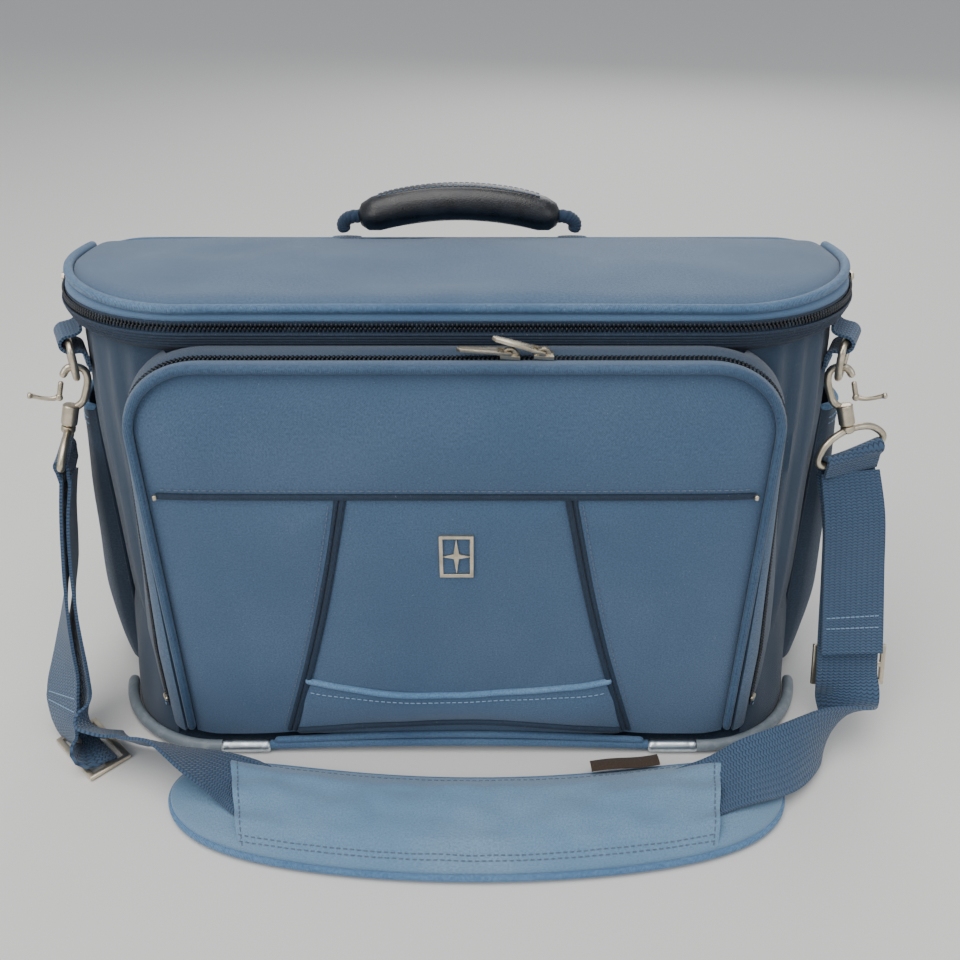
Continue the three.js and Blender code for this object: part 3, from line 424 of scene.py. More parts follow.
# Ribbed webbing: weft ribs across its width, in lengthwise columns.
ribbing, ribbing_in, ribbing_out = new_group(
    "webbing_ribs",
    [
        ("Vector", "NodeSocketVector", None), ("Rib", "NodeSocketFloat", 0.0019),
        ("Column", "NodeSocketFloat", 0.0034)
    ],
    [("Height", "NodeSocketFloat")],
)
parted = put(ribbing, "ShaderNodeSeparateXYZ", i0=ribbing_in.outputs["Vector"])
wobble = sums(ribbing, "MULTIPLY", speckle(ribbing, ribbing_in.outputs["Vector"], 260.0), 0.0006)
along = sums(ribbing, "DIVIDE", sums(ribbing, "ADD", parted.outputs[0], wobble), ribbing_in.outputs["Rib"])
columns = sums(ribbing, "DIVIDE", parted.outputs[1], ribbing_in.outputs["Column"])
columns = sums(ribbing, "ABSOLUTE", sums(ribbing, "SINE", sums(ribbing, "MULTIPLY", columns, math.pi)))
shifted = sums(ribbing, "ADD", along, sums(ribbing, "MULTIPLY", columns, 0.5))
ribs = sums(ribbing, "ABSOLUTE", sums(ribbing, "SINE", sums(ribbing, "MULTIPLY", shifted, math.pi)))
rib_height = sums(ribbing, "MULTIPLY", ribs, sums(ribbing, "ADD", sums(ribbing, "MULTIPLY", columns, 0.5), 0.5))
ribbing.links.new(rib_height, ribbing_out.inputs["Height"])

# Sun fading and handling marks: wide pale clouds, small rubbed patches and specks of lint.
fading, fading_in, fading_out = new_group(
    "cloth_fading",
    [("Vector", "NodeSocketVector", None), ("Colour", "NodeSocketColor", None), ("Pale", "NodeSocketColor", None),
     ("Amount", "NodeSocketFloat", 0.4)],
    [("Colour", "NodeSocketColor"), ("Rubbed", "NodeSocketFloat")],
)
clouds = spread(fading, speckle(fading, fading_in.outputs["Vector"], 9.0, 4.0, 0.55), 0.38, 0.68)
patches = spread(fading, speckle(fading, fading_in.outputs["Vector"], 60.0, 5.0, 0.62), 0.48, 0.72)
lint = spread(fading, speckle(fading, fading_in.outputs["Vector"], 900.0, 1.0), 0.71, 0.76)
rubbed = sums(fading, "ADD", sums(fading, "MULTIPLY", clouds, 0.6), sums(fading, "MULTIPLY", patches, 0.16))
rubbed = sums(fading, "MULTIPLY", rubbed, fading_in.outputs["Amount"])
faded = blend_colours(fading, rubbed, fading_in.outputs["Colour"], fading_in.outputs["Pale"])
flecked = blend_colours(fading, sums(fading, "MULTIPLY", lint, 0.14), faded, (0.62, 0.64, 0.66, 1))
fading.links.new(flecked, fading_out.inputs["Colour"])
fading.links.new(rubbed, fading_out.inputs["Rubbed"])


def tint(code):
    """A colour written as six hex digits, in the linear values that a shader takes."""
    parts = [int(code[i : i + 2], 16) / 255 for i in (0, 2, 4)]
    return (*[((p + 0.055) / 1.055) ** 2.4 if p > 0.04045 else p / 12.92 for p in parts], 1)


def new_finish(name, roughness, sheen=0.0, specular=0.5):
    finish = bpy.data.materials.new(name)
    finish.use_nodes = True
    tree = finish.node_tree
    shader = tree.nodes["Principled BSDF"]
    shader.inputs["Roughness"].default_value = roughness
    shader.inputs["Sheen Weight"].default_value = sheen
    shader.inputs["Sheen Roughness"].default_value = 0.45
    shader.inputs["Specular IOR Level"].default_value = specular
    return finish, tree, shader


def cloth(
    name, colour, deep, pale, pitch=0.0011, fade=0.4, source="UV", bump=0.5, sheen=0.25, roughness=0.82,
    ribs=False
):
    """A woven cloth: threads between a deep and a plain colour, faded towards a pale one."""
    finish, tree, shader = new_finish(name, roughness, sheen, 0.35)
    spots = put(tree, "ShaderNodeTexCoord").outputs
    woven = put(tree, "ShaderNodeGroup", [("node_tree", ribbing if ribs else weave)], Vector=spots[source])
    worn = put(
        tree, "ShaderNodeGroup", [("node_tree", fading)], Vector=spots["Object"], Colour=tint(colour),
        Pale=tint(pale), Amount=fade
    )
    if ribs:
        lit = spread(tree, woven.outputs["Height"], 0.0, 0.55)
    else:
        woven.inputs["Pitch"].default_value = pitch
        lit = woven.outputs["Thread"]
    shaded = blend_colours(tree, lit, tint(deep), worn.outputs["Colour"])
    tree.links.new(shaded, shader.inputs["Base Color"])
    raised = put(
        tree, "ShaderNodeBump", Height=woven.outputs["Height"], Strength=bump,
        Distance=0.0008 if ribs else 0.0005
    )
    tree.links.new(raised.outputs[0], shader.inputs["Normal"])
    return finish


strap_cloth = cloth("strap_webbing", "3f5875", "1f3045", "657e9a", fade=0.35, bump=0.8, ribs=True)
for piece in (strap_main, strap_left_return, strap_right_return, *folds):
    piece.data.materials.append(strap_cloth)


def scatter(name, template, spots):
    """One mesh made of copies of a small template, each under its own 4x4 placement in millimetres."""
    shape = [p.co.copy() for p in template.data.vertices]
    sides = [tuple(f.vertices) for f in template.data.polygons]
    places, faces = [], []
    for spot in spots:
        first = len(places)
        places += [(spot @ (p * 1000)) * MM for p in shape]
        faces += [tuple(first + i for i in f) for f in sides]
    mesh = bpy.data.meshes.new(name)
    mesh.from_pydata(places, [], faces)
    mesh.polygons.foreach_set("use_smooth", [True] * len(faces))
    piece = bpy.data.objects.new(name, mesh)
    bpy.context.scene.collection.objects.link(piece)
    return piece


def stitch_bead():
    """One stitch, lying along X: a low rounded bead of thread."""
    clear_choice()
    bpy.ops.mesh.primitive_cube_add(size=MM)
    bead = bpy.context.object
    for p in bead.data.vertices:
        p.co = Vector((p.co.x * 2.5, p.co.y * 0.75, p.co.z * 0.6))
    bpy.ops.object.mode_set(mode="EDIT")
    bpy.ops.mesh.bevel(offset=0.00022, segments=1)
    bpy.ops.object.mode_set(mode="OBJECT")
    return bead


bead = stitch_bead()
bead.hide_render = bead.hide_viewport = True


def lie_along(at, along, out):
    """A placement with X along a line and Z out of the cloth."""
    x = along.normalized()
    z = (out - x * out.dot(x)).normalized()
    y = z.cross(x)
    return Matrix(((x.x, y.x, z.x, at.x), (x.y, y.y, z.y, at.y), (x.z, y.z, z.z, at.z), (0, 0, 0, 1)))


def stitches(name, rows, finish, body, pitch=3.6):
    """Rows of stitches: each row is a chain of (place, outward direction)."""
    spots = []
    for row in rows:
        run = lengths_along([r[0] for r in row])
        k = 0
        for n in range(int(run[-1] / pitch)):
            d = (n + 0.5) * pitch
            while run[k + 1] < d:
                k += 1
            share = (d - run[k]) / (run[k + 1] - run[k])
            along = row[k + 1][0] - row[k][0]
            at = row[k][0] + along * share
            spots.append(lie_along(at, along, row[k][1].lerp(row[k + 1][1], share)))
    piece = scatter(name, bead, spots)
    piece.data.materials.append(finish)
    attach(piece, body)
    return piece


def thread_finish(name, colour):
    finish, tree, shader = new_finish(name, 0.7, 0.2, 0.4)
    spots = put(tree, "ShaderNodeTexCoord").outputs["Object"]
    shade = blend_colours(tree, speckle(tree, spots, 1400.0), tint(colour), tint("c9d6e2"))
    shade = blend_colours(tree, 0.72, shade, tint(colour))
    tree.links.new(shade, shader.inputs["Base Color"])
    raised = put(tree, "ShaderNodeBump", Height=speckle(tree, spots, 2500.0), Strength=0.4, Distance=0.0002)
    tree.links.new(raised.outputs[0], shader.inputs["Normal"])
    return finish


pale_thread = thread_finish("pale_thread", "6d8fb2")
dark_thread = thread_finish("dark_thread", "2b4361")


def cross_rows(stations, picks, half, lift):
    """Stitch rows straight across the strap at some of its stations."""
    rows = []
    for i in picks:
        at, across = stations[i]
        along = (stations[i + 1][0] - stations[i - 1][0]).normalized()
        side = (across - along * across.dot(along)).normalized()
        out = along.cross(side)
        rows.append([(at + side * half * s + out * lift, out * (1 if lift > 0 else -1)) for s in (-1, 0, 1)])
    return rows


face_lift = STRAP_THICK / 2 + 0.2
box_rows = cross_rows(right_return_stations, (20, 22), 17, face_lift) + cross_rows(
    right_return_stations, (20, 22), 17, -face_lift
)
box_rows += cross_rows(left_return_stations, (24, 26), 17, face_lift) + cross_rows(
    left_return_stations, (24, 26), 17, -face_lift
)
box_rows += cross_rows(
    left_return_stations, (3, 5), 17, -face_lift
) + cross_rows(right_return_stations, (3,), 17, -face_lift)
stitches("strap_stitching", box_rows, pale_thread, "bag", 3.0)

# ---------- Strap hardware ----------
# Cast nickel-plated slide adjusters with a middle bar, and the wide eyes that the webbing folds round.
# The eyes turn in the snap hooks' barrels.


def tube(name, route, radius, sides=10, steps=40, closed=False, ripple=None, flat=1.0, upright=None):
    """A bar along a smooth route. ripple(u, angle) scales its radius and flat its height across.
    Open ends are rounded over."""
    if closed:
        rings = [(i / steps, 1.0) for i in range(steps + 1)]
    else:
        length = sum((smooth_at(route, (i + 1) / 60) - smooth_at(route, i / 60)).length for i in range(60))
        tip = min(0.2, radius / length)
        rings = [(0, 0.0), (tip * 0.1, 0.5), (tip * 0.4, 0.85), (tip, 1.0)]
        rings += [(tip + (1 - 2 * tip) * i / steps, 1.0) for i in range(1, steps)]
        rings += [(1 - t, f) for t, f in reversed(rings[:4])]
    last = len(rings) - 1
    centres = [smooth_at(route, t % 1.0 if closed else t, closed) for t, _ in rings]
    sides_way = []
    lean = upright
    for i in range(last + 1):
        before, after = (i - 1, i + 1) if not closed else ((i - 1) % last, (i + 1) % last)
        along = (centres[min(last, after)] - centres[max(0, before)]).normalized()
        if lean is None:
            lean = along.orthogonal()
        lean = (lean - along * lean.dot(along)).normalized()
        sides_way.append((lean, along.cross(lean)))
        if upright is not None:
            lean = upright

    def place(u, v):
        i = round(u * last)
        angle = 2 * math.pi * v
        reach = radius * max(rings[i][1], 0.0001)
        if ripple:
            reach *= ripple(rings[i][0], angle)
        high, wide = sides_way[i]
        return centres[i] + high * (math.cos(angle) * reach * flat) + wide * (math.sin(angle) * reach)

    span = sum((b - a).length for a, b in zip(centres, centres[1:]))
    return shaped_grid(name, last, sides, place, (span * MM, 2 * math.pi * radius * MM), wrap=True)


def copied(name, node):
    """A new piece with the shape of a CAD node and no material."""
    piece = bpy.data.objects.new(name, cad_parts[node].data.copy())
    piece.data.name = name
    piece.data.materials.clear()
    bpy.context.scene.collection.objects.link(piece)
    only(piece)
    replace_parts(piece, node)
    return piece


def worn_edges(piece, width, segments, **limit):
    """Rounds the active piece's edges, to a width in millimetres."""
    apply_modifier(piece, "edge", "BEVEL", width=width * MM, segments=segments, **limit)


def refined(name, node, bevel, segments=2, merge=True):
    """A CAD node's shape with its edges rounded. merge joins its triangles into faces, where none goes round a hole."""
    piece = copied(name, node)
    bpy.ops.object.mode_set(mode="EDIT")
    bpy.ops.mesh.select_all(action="SELECT")
    bpy.ops.mesh.remove_doubles(threshold=0.00001)
    if merge:
        bpy.ops.mesh.dissolve_limited(angle_limit=math.radians(4))
    bpy.ops.object.mode_set(mode="OBJECT")
    worn_edges(piece, bevel, segments, limit_method="ANGLE", angle_limit=math.radians(25))
    bpy.ops.object.shade_smooth_by_angle(angle=math.radians(35))
    return piece


def join(name, *parts):
    """Several meshes as one piece, which keeps what the first of them stands for."""
    clear_choice()
    stood = sorted({n for p in parts for n in p.get("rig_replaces", [])})
    for part in parts:
        part.select_set(True)
    bpy.context.view_layer.objects.active = parts[0]
    bpy.ops.object.join()
    parts[0].name = parts[0].data.name = name
    if stood:
        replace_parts(parts[0], *stood)
    return parts[0]


# Rubbed metal: cloudy tarnish, fine scratches and a duller skin in cloudy patches.
tarnish, tarnish_in, tarnish_out = new_group(
    "metal_tarnish",
    [
        ("Vector", "NodeSocketVector", None), ("Colour", "NodeSocketColor", None),
        ("Dull", "NodeSocketColor", None)
    ],
    [("Colour", "NodeSocketColor"), ("Roughness", "NodeSocketFloat"), ("Height", "NodeSocketFloat")],
)
cloudy = spread(tarnish, speckle(tarnish, tarnish_in.outputs["Vector"], 140.0, 4.0, 0.6), 0.4, 0.7)
fine = speckle(tarnish, tarnish_in.outputs["Vector"], 1500.0, 3.0, 0.7)
toned = blend_colours(
    tarnish, sums(tarnish, "MULTIPLY", cloudy, 0.6), tarnish_in.outputs["Colour"], tarnish_in.outputs["Dull"]
)
tarnish.links.new(toned, tarnish_out.inputs["Colour"])
gloss = sums(
    tarnish, "ADD", spread(tarnish, cloudy, 0.0, 1.0, 0.28, 0.42), sums(tarnish, "MULTIPLY", fine, 0.08)
)
tarnish.links.new(gloss, tarnish_out.inputs["Roughness"])
tarnish.links.new(fine, tarnish_out.inputs["Height"])


def plated(name, colour, dull):
    finish, tree, shader = new_finish(name, 0.28)
    shader.inputs["Metallic"].default_value = 1.0
    spots = put(tree, "ShaderNodeTexCoord").outputs["Object"]
    worn = put(
        tree, "ShaderNodeGroup", [("node_tree", tarnish)], Vector=spots, Colour=tint(colour), Dull=tint(dull)
    )
    tree.links.new(worn.outputs["Colour"], shader.inputs["Base Color"])
    tree.links.new(worn.outputs["Roughness"], shader.inputs["Roughness"])
    raised = put(tree, "ShaderNodeBump", Height=worn.outputs["Height"], Strength=0.12, Distance=0.0002)
    tree.links.new(raised.outputs[0], shader.inputs["Normal"])
    return finish


nickel = plated("warm_nickel", "d8cdb8", "9d9382")


def metal_piece(piece, body):
    piece.data.materials.clear()
    dress(piece, nickel, body, "nickel")
    return piece


for name, side in SIDES:
    metal_piece(refined(f"strap_adjuster_{name}", f"adjuster_{name}", 0.7, 3, merge=False), "bag")
    eye = eye_frame(name, side)
    half = 20.5 + EYE_WIRE
    right = [(half - 3, EYE_LOW), (half, EYE_LOW + 4), (half - 6, -39), (6, -35)]
    loop = [(0, EYE_LOW), *right, *[(-y, z) for y, z in reversed(right)]]
    wire = tube("eye_wire", [eye @ Vector((0, y, z)) for y, z in loop], EYE_WIRE, 12, 64, closed=True)
    post = tube("eye_post", [eye @ Vector((0, 0, z)) for z in (-36.5, -34, -32.4, -31.6)], 4.1, 14, 8)
    stem = tube("eye_stem", [eye @ Vector((0, 0, z)) for z in (-34, -30, -24)], 2.4, 12, 4)
    swivel = join(f"swivel_eye_loop_{name}", wire, post, stem)
    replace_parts(swivel, f"swivel_eye_{name}")
    metal_piece(swivel, "bag")

# ---------- Shoulder pad ----------
# A crescent of foam in the bag's cloth, bound round its edge, with a looser sleeve stitched over it
# that the webbing runs through, and a small woven tab with no lettering at its back edge.
PAD_WIDTH = 68
SLEEVE_HALF = 142


def round_power(value, power):
    return math.copysign(abs(value) ** power, value)


def pad_point(u, v):
    """The cushion: u along it, v once round its cross-section."""
    t = 2 * u - 1
    t = math.copysign(1 - (1 - abs(t)) ** 1.6, t)
    x = PAD_X + t * PAD_HALF
    taper = max(0.0, 1 - abs(t) ** 7) ** 0.5
    angle = 2 * math.pi * v
    across, up = round_power(math.cos(angle), 0.75), math.sin(angle)
    rise = 8.6 * max(0.0, up) ** 0.55 * (0.35 + 0.65 * taper)
    fall = 2.6 * max(0.0, -up) ** 0.4
    dent = noise.noise(Vector((x * 0.021, across * 1.3, 2.0))) * 1.1 * max(0.0, up)
    y = pad_centre_y(x) + across * (PAD_WIDTH / 2 - 1.2) * taper
    return Vector((x, y, 2.9 + rise - fall + dent))


pad_blue = cloth("faded_pad_cloth", "6f92b2", "52738f", "9ab6cc", 0.001, 0.75, bump=0.45, sheen=0.35)
pad_dark = cloth("pad_binding", "5a81a8", "39587a", "86a7c6", 0.0012, 0.5, "Object", bump=0.4)
pad = shaped_grid("pad_foam", 150, 48, pad_point, (0.37, 0.14), wrap=True)
dress(pad, pad_blue, "bag", "pad_cloth", "pad_cushion")


def pad_edge(x_share, inset, z):
    """A point round the pad's edge: x_share from -1 to 1 along the near side, beyond 1 back along the far side."""
    near = x_share <= 1
    t = x_share if near else 2 - x_share
    taper = max(0.0, 1 - abs(t) ** 7) ** 0.5
    x = PAD_X + t * (PAD_HALF - inset)
    y = pad_centre_y(x) + (-1 if near else 1) * (PAD_WIDTH / 2 - inset) * taper
    return Vector((x, y, z))


edge_shares = [-1, -0.995, -0.975, *[-0.94 + 0.047 * i for i in range(41)], 0.975, 0.995, 1]
edge_route = [pad_edge(s, 0.4, 3.1) for s in edge_shares] + [
    pad_edge(2 - s, 0.4, 3.1) for s in edge_shares[-2:0:-1]
]
binding = tube("pad_binding_edge", edge_route, 2.0, 10, 260, closed=True, upright=Vector((0, 0, 1)), flat=1.15)
dress(binding, pad_dark, "bag", "pad_cloth")


def sleeve_point(u, v):
    """The sleeve over the pad: it climbs from the near edge, tents over the webbing and falls to the far edge."""
    s = 2 * v - 1
    slant = -9 if u < 0.5 else 7
    ends = abs(2 * u - 1) ** 6
    x = PAD_X + (2 * u - 1) * SLEEVE_HALF + slant * s * ends
    y = pad_centre_y(x) + s * (PAD_WIDTH / 2 - 4.2)
    lip = 1 - abs(s) ** 2.6
    ridge = math.exp(-(((abs(s) - 0.62) / 0.13) ** 2))
    high = 7.6 + 9.4 * lip + 0.9 * ridge
    wrinkle = noise.noise(Vector((x * 0.055, s * 2.2, 0.0))) * 2.3 * lip
    wrinkle += noise.noise(Vector((x * 0.016, s * 0.8, 4.0))) * 2.4 * lip
    pull = ends * 1.4 * math.cos(s * 9)
    return Vector((x, y, high + wrinkle + pull))


sleeve = shaped_grid("pad_sleeve_cover", 150, 40, sleeve_point, (0.284, 0.075))
thicken(sleeve, 1.2, 0.0)
dress(sleeve, pad_blue, "bag", "pad_cloth", "pad_sleeve")


def sleeve_row(v):
    return [(sleeve_point(i / 90, v) + Vector((0, 0, 0.9)), Vector((0, 0, 1))) for i in range(91)]


def sleeve_cross(u):
    return [(sleeve_point(u, i / 24) + Vector((0, 0, 0.9)), Vector((0, 0, 1))) for i in range(25)]


pad_rows = [sleeve_row(0.035), sleeve_row(0.075), sleeve_row(0.955), sleeve_cross(0.012), sleeve_cross(0.988)]
for side_way, v in ((-1, 0.012), (1, 0.988)):
    pad_rows.append(
        [
            (pad_edge(s if side_way < 0 else 2 - s, 3.4, 6.6 if abs(s) < 0.9 else 5.0), Vector((0, 0, 1)))
            for s in [-0.97 + 0.0194 * i for i in range(101)]
        ]
    )
stitches("pad_stitching", pad_rows, dark_thread, "bag", 3.8)


def label_point(u, v):
    x = 80 + 42 * u
    y = pad_centre_y(x) + PAD_WIDTH / 2 - 5.0 + 10.5 * v
    return Vector((x, y, 12.6 - 3.2 * v**2 + 0.7 * math.sin(u * 6)))


label_cloth = cloth("label_weave", "4a3a2e", "2c221b", "6f5d4c", 0.0009, 0.4, ribs=False, sheen=0.1)
label = shaped_grid("pad_tab", 20, 8, label_point, (0.04, 0.009))
thicken(label, 0.8, 0.0)
dress(label, label_cloth, "bag", "label_cloth", "pad_label")

# ---------- Base, corner guards and front binding ----------
# A stiff base in dark cloth. Its front corners carry moulded tubular guards, each crimped into a bright
# ferrule, and a doubled cloth binding lifts slightly along the front between the ferrules.
BAG_HALF = 220
BACK_Y = 75
WALL_TOP = 258
TOP_FRONT_Y, TOP_CORNER = -62, 80
FOOT_FRONT_Y, FOOT_CORNER = -74, 72
BACK_CORNER = 22
BASE_FRONT_Y, BASE_CORNER = -97, 68


def arc(cx, cy, radius, a, b, steps):
    turn = [math.radians(a + (b - a) * i / steps) for i in range(steps + 1)]
    return [(cx + radius * math.cos(t), cy + radius * math.sin(t)) for t in turn]


def plan(front, corner, grow=0.0, fine=1):
    """The plan outline, anticlockwise from the middle of the back, with its outward normals."""
    half, f, b = BAG_HALF + grow, front - grow, BACK_Y + grow
    big, small = corner + grow, max(2.0, BACK_CORNER + grow)
    points = [
        *arc(-half + small, b - small, small, 90, 180, 5 * fine),
        *arc(-half + big, f + big, big, 180, 270, 14 * fine),
        *arc(half - big, f + big, big, 270, 360, 14 * fine),
        *arc(half - small, b - small, small, 0, 90, 5 * fine),
    ]
    corners = [5 * fine, 20 * fine + 1, 35 * fine + 2]
    spaced = [(0.0, b), (-0.5 * (half - small), b)]
    extra = {corners[0]: 8 * fine, corners[1]: 30 * fine, corners[2]: 8 * fine}
    for i, p in enumerate(points):
        spaced.append(p)
        if i in extra and i + 1 < len(points):
            q = points[i + 1]
            n = extra[i]
            spaced += [(p[0] + (q[0] - p[0]) * k / n, p[1] + (q[1] - p[1]) * k / n) for k in range(1, n)]
    spaced += [(0.5 * (half - small), b), (0.0, b)]
    out = []
    for i, (x, y) in enumerate(spaced):
        a, c = spaced[max(0, i - 1)], spaced[min(len(spaced) - 1, i + 1)]
        n = Vector((-(c[1] - a[1]), c[0] - a[0], 0))
        n = Vector((0, 1, 0)) if i in (0, len(spaced) - 1) else -n.normalized()
        out.append((Vector((x, y, 0)), n))
    return out


def shoulder(t, power=2.0):
    return max(0.0, 1 - abs(t) ** power) ** (1 / power)


panel_cloth = cloth("ballistic_cloth", "4d6887", "2f4762", "748ca6", 0.0009, 0.4, bump=0.5)
panel_solid = cloth("ballistic_cloth_solid", "4d6887", "2f4762", "748ca6", 0.0009, 0.4, "Object", bump=0.5)
# Painted shade: a darker copy of the ballistic cloth, its colours set midway between lit and shaded cloth, for the
# shell, foot corners, end pockets and rear pocket gusset.
shade_darkened_cloth = cloth("body_cloth", "32465d", "1d2e41", "4f647c", 0.0009, 0.35, bump=0.5)
lining = cloth("lining_cloth", "2f3842", "1c232b", "454f5a", 0.0008, 0.2, bump=0.3, roughness=0.7)

base_rows = [(0.0, -3.0), (0.0, -1.2), (0.5, -0.3), (1.6, 0.0), (2.8, -0.1), (3.6, -0.6), (4.0, -2.0)]
base_plans = [plan(BASE_FRONT_Y, BASE_CORNER, grow) for _, grow in base_rows]


def base_point(u, v):
    i = round(v * (len(base_rows) + 1))
    k = round(u * (len(base_plans[0]) - 1))
    if i in (0, len(base_rows) + 1):
        z = 0.0 if i == 0 else 4.0
        at = base_plans[0][k][0]
        return Vector((at.x * 0.02, at.y * 0.02 - 10, z))
    at = base_plans[i - 1][k][0]
    return Vector((at.x, at.y, base_rows[i - 1][0]))


base = shaped_grid("base_cloth", len(base_plans[0]) - 1, len(base_rows) + 1, base_point, (1.3, 0.1), wrap=True)
only(base)
edit_all((bpy.ops.mesh.fill_holes, {"sides": 0}))
bpy.ops.object.shade_smooth_by_angle(angle=math.radians(40))
dress(
    base, cloth("base_cloth_grain", "1f3249", "111d2c", "35506d", 0.0012, 0.3, "Object", bump=0.5), "bag",
    "dark_cloth", "base_panel"
)

GUARD_RADIUS = 3.6
GUARD_Z = 4.2
GUARD_Y = BASE_FRONT_Y - GUARD_RADIUS - 0.4
FERRULE_IN, FERRULE_OUT = 118, 150


def moulded(name, colour, deep, roughness=0.42):
    """Smooth moulded or coated stuff with a faint grain and scuffs."""
    finish, tree, shader = new_finish(name, roughness, 0.0, 0.5)
    spots = put(tree, "ShaderNodeTexCoord").outputs["Object"]
    scuffs = spread(tree, speckle(tree, spots, 120.0, 5.0, 0.65), 0.5, 0.7)
    shade = blend_colours(tree, scuffs, tint(colour), tint(deep))
    tree.links.new(shade, shader.inputs["Base Color"])
    tree.links.new(spread(tree, scuffs, 0, 1, roughness, roughness + 0.2), shader.inputs["Roughness"])
    raised = put(
        tree, "ShaderNodeBump", Height=speckle(tree, spots, 900.0, 3.0), Strength=0.25, Distance=0.0003
    )
    tree.links.new(raised.outputs[0], shader.inputs["Normal"])
    return finish


guard_grey = moulded("guard_rubber", "7a858e", "929ca3", 0.38)
ferrule_metal = plated("bright_ferrule", "dfe6ea", "a9b4bb")
binding_cloth = cloth(
    "binding_cloth", "4a6a8c", "2c4766", "7d9bb8", 0.001, 0.5, bump=0.5, sheen=0.15, roughness=0.65
)
for name, side in SIDES:
    bend = arc(
        BAG_HALF - BASE_CORNER, BASE_FRONT_Y + BASE_CORNER, BASE_CORNER + GUARD_RADIUS + 0.4, -88, -8, 12
    )
    route = [Vector((side * (FERRULE_OUT - 8), GUARD_Y, GUARD_Z))]
    route += [Vector((side * x, y, GUARD_Z)) for x, y in bend]
    guard = tube(f"base_guard_{name}", route, GUARD_RADIUS, 16, 60, upright=Vector((0, 0, 1)))
    dress(guard, guard_grey, "bag", "guard_rubber", f"corner_guard_{name}")
    ends = [
        Vector((side * x, GUARD_Y, GUARD_Z)) for x in (FERRULE_IN, FERRULE_IN + 8, FERRULE_OUT - 8, FERRULE_OUT)
    ]

    def crimp(u, angle):
        """A rolled lip at each end and two shallow crimps."""
        lips = 0.09 * (math.exp(-(((u - 0.06) / 0.03) ** 2)) + math.exp(-(((u - 0.94) / 0.03) ** 2)))
        dents = 0.05 * (math.exp(-(((u - 0.25) / 0.05) ** 2)) + math.exp(-(((u - 0.75) / 0.05) ** 2)))
        return 1.02 + lips - dents

    ferrule = tube(
        f"base_ferrule_{name}", ends, GUARD_RADIUS + 0.3, 20, 40, ripple=crimp, upright=Vector((0, 0, 1))
    )
    dress(ferrule, ferrule_metal, "bag", "ferrule_metal", f"guard_ferrule_{name}")


def front_lift(x):
    return 7.0 * max(0.0, 1 - (x / (FERRULE_IN + 2)) ** 2) ** 1.2


front_xs = [-124 + 248 * i / 30 for i in range(31)]
low_cord = tube(
    "base_front_cord", [Vector((x, GUARD_Y + 0.6, GUARD_Z + 0.45 * front_lift(x))) for x in front_xs], 3.0, 12,
    70, upright=Vector((0, 0, 1))
)
top_cord = tube(
    "base_front_cord_top",
    [Vector((x, GUARD_Y + 1.0, GUARD_Z + 3.4 + 0.8 * front_lift(x))) for x in front_xs[1:-1]], 2.2, 12, 70,
    upright=Vector((0, 0, 1))
)
front_cord = join("base_front_cord", low_cord, top_cord)
dress(front_cord, binding_cloth, "bag", "trim_cloth", "base_front_piping")

# ---------- Body shell ----------
# One soft shell of foam-backed ballistic cloth: front, two ends and back, sewn round the base and the
# rim. It sags a little, and the cloth stands in upright pleats where it turns the front corners.
PANEL_THICK = 4.2
SHELL_LOW = 4.4
shell_levels = [SHELL_LOW + (WALL_TOP - SHELL_LOW) * i / 56 for i in range(57)]


def front_at(z):
    """The front panel's depth and its corner radius at a height."""
    t = 1 - z / WALL_TOP
    return TOP_FRONT_Y + (FOOT_FRONT_Y - TOP_FRONT_Y) * t, TOP_CORNER + (FOOT_CORNER - TOP_CORNER) * t


shell_plans = [plan(*front_at(z), fine=2) for z in shell_levels]
PLEATS = (  # place along X, depth, width: upright folds round each front corner
    (172, 3.4, 4.5),
    (186, 3.0, 4.0),
    (199, 3.6, 4.5),
    (209, 2.6, 3.5),
)


def shell_point(u, v):
    row = shell_plans[round(v * 56)]
    at, out = row[round(u * (len(row) - 1))]
    z = shell_levels[round(v * 56)]
    high = z / WALL_TOP
    swell = 2.4 * math.sin(math.pi * high) * (1 if out.y < 0.7 else 0.6)
    swell += noise.noise(Vector((at.x * 0.012, at.y * 0.016, z * 0.013))) * 2.2 * math.sin(math.pi * high)
    if out.y < 0.2 and at.y < 6:
        side = math.copysign(1, at.x)
        lean = noise.noise(Vector((side * 3.0, z * 0.012, 7.0))) * 5
        for place, depth, width in PLEATS:
            near = (abs(at.x) - place - lean) / width
            fade = 0.35 + 0.65 * shoulder((high - 0.55) / 0.6)
            swell += depth * math.exp(-near * near) * fade * (1.0 if side > 0 else 0.6)
            swell -= 0.5 * depth * math.exp(-((near - 1.7) ** 2)) * fade
    swell -= 1.6 * math.exp(-(((z - SHELL_LOW) / 7) ** 2))
    rim = max(0.0, 1 - (WALL_TOP - z) / 10)
    return Vector((at.x, at.y, z)) + out * swell * (1 - rim * rim)


shell = shaped_grid("body_shell", len(shell_plans[0]) - 1, 56, shell_point, (1.25, 0.258), wrap=True)
# Painted shade: the shell wears the darkened copy of the ballistic cloth.
shell.data.materials.append(shade_darkened_cloth)
shell.data.materials.append(lining)
thicken(shell, PANEL_THICK, -1.0, inside=1)
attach(shell, "bag")
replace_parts(shell, "front_wall", "left_wall", "right_wall", "back_wall")

# At each front corner the cloth spreads out from the shell to the edge of the base, behind the guard.
SPREAD_TOP = 78


def base_edge(angle, grow):
    """A place on the base's front right corner, at an angle round it in degrees."""
    t = math.radians(angle)
    reach = BASE_CORNER + grow
    return BAG_HALF - BASE_CORNER + reach * math.cos(t), BASE_FRONT_Y + BASE_CORNER + reach * math.sin(t)


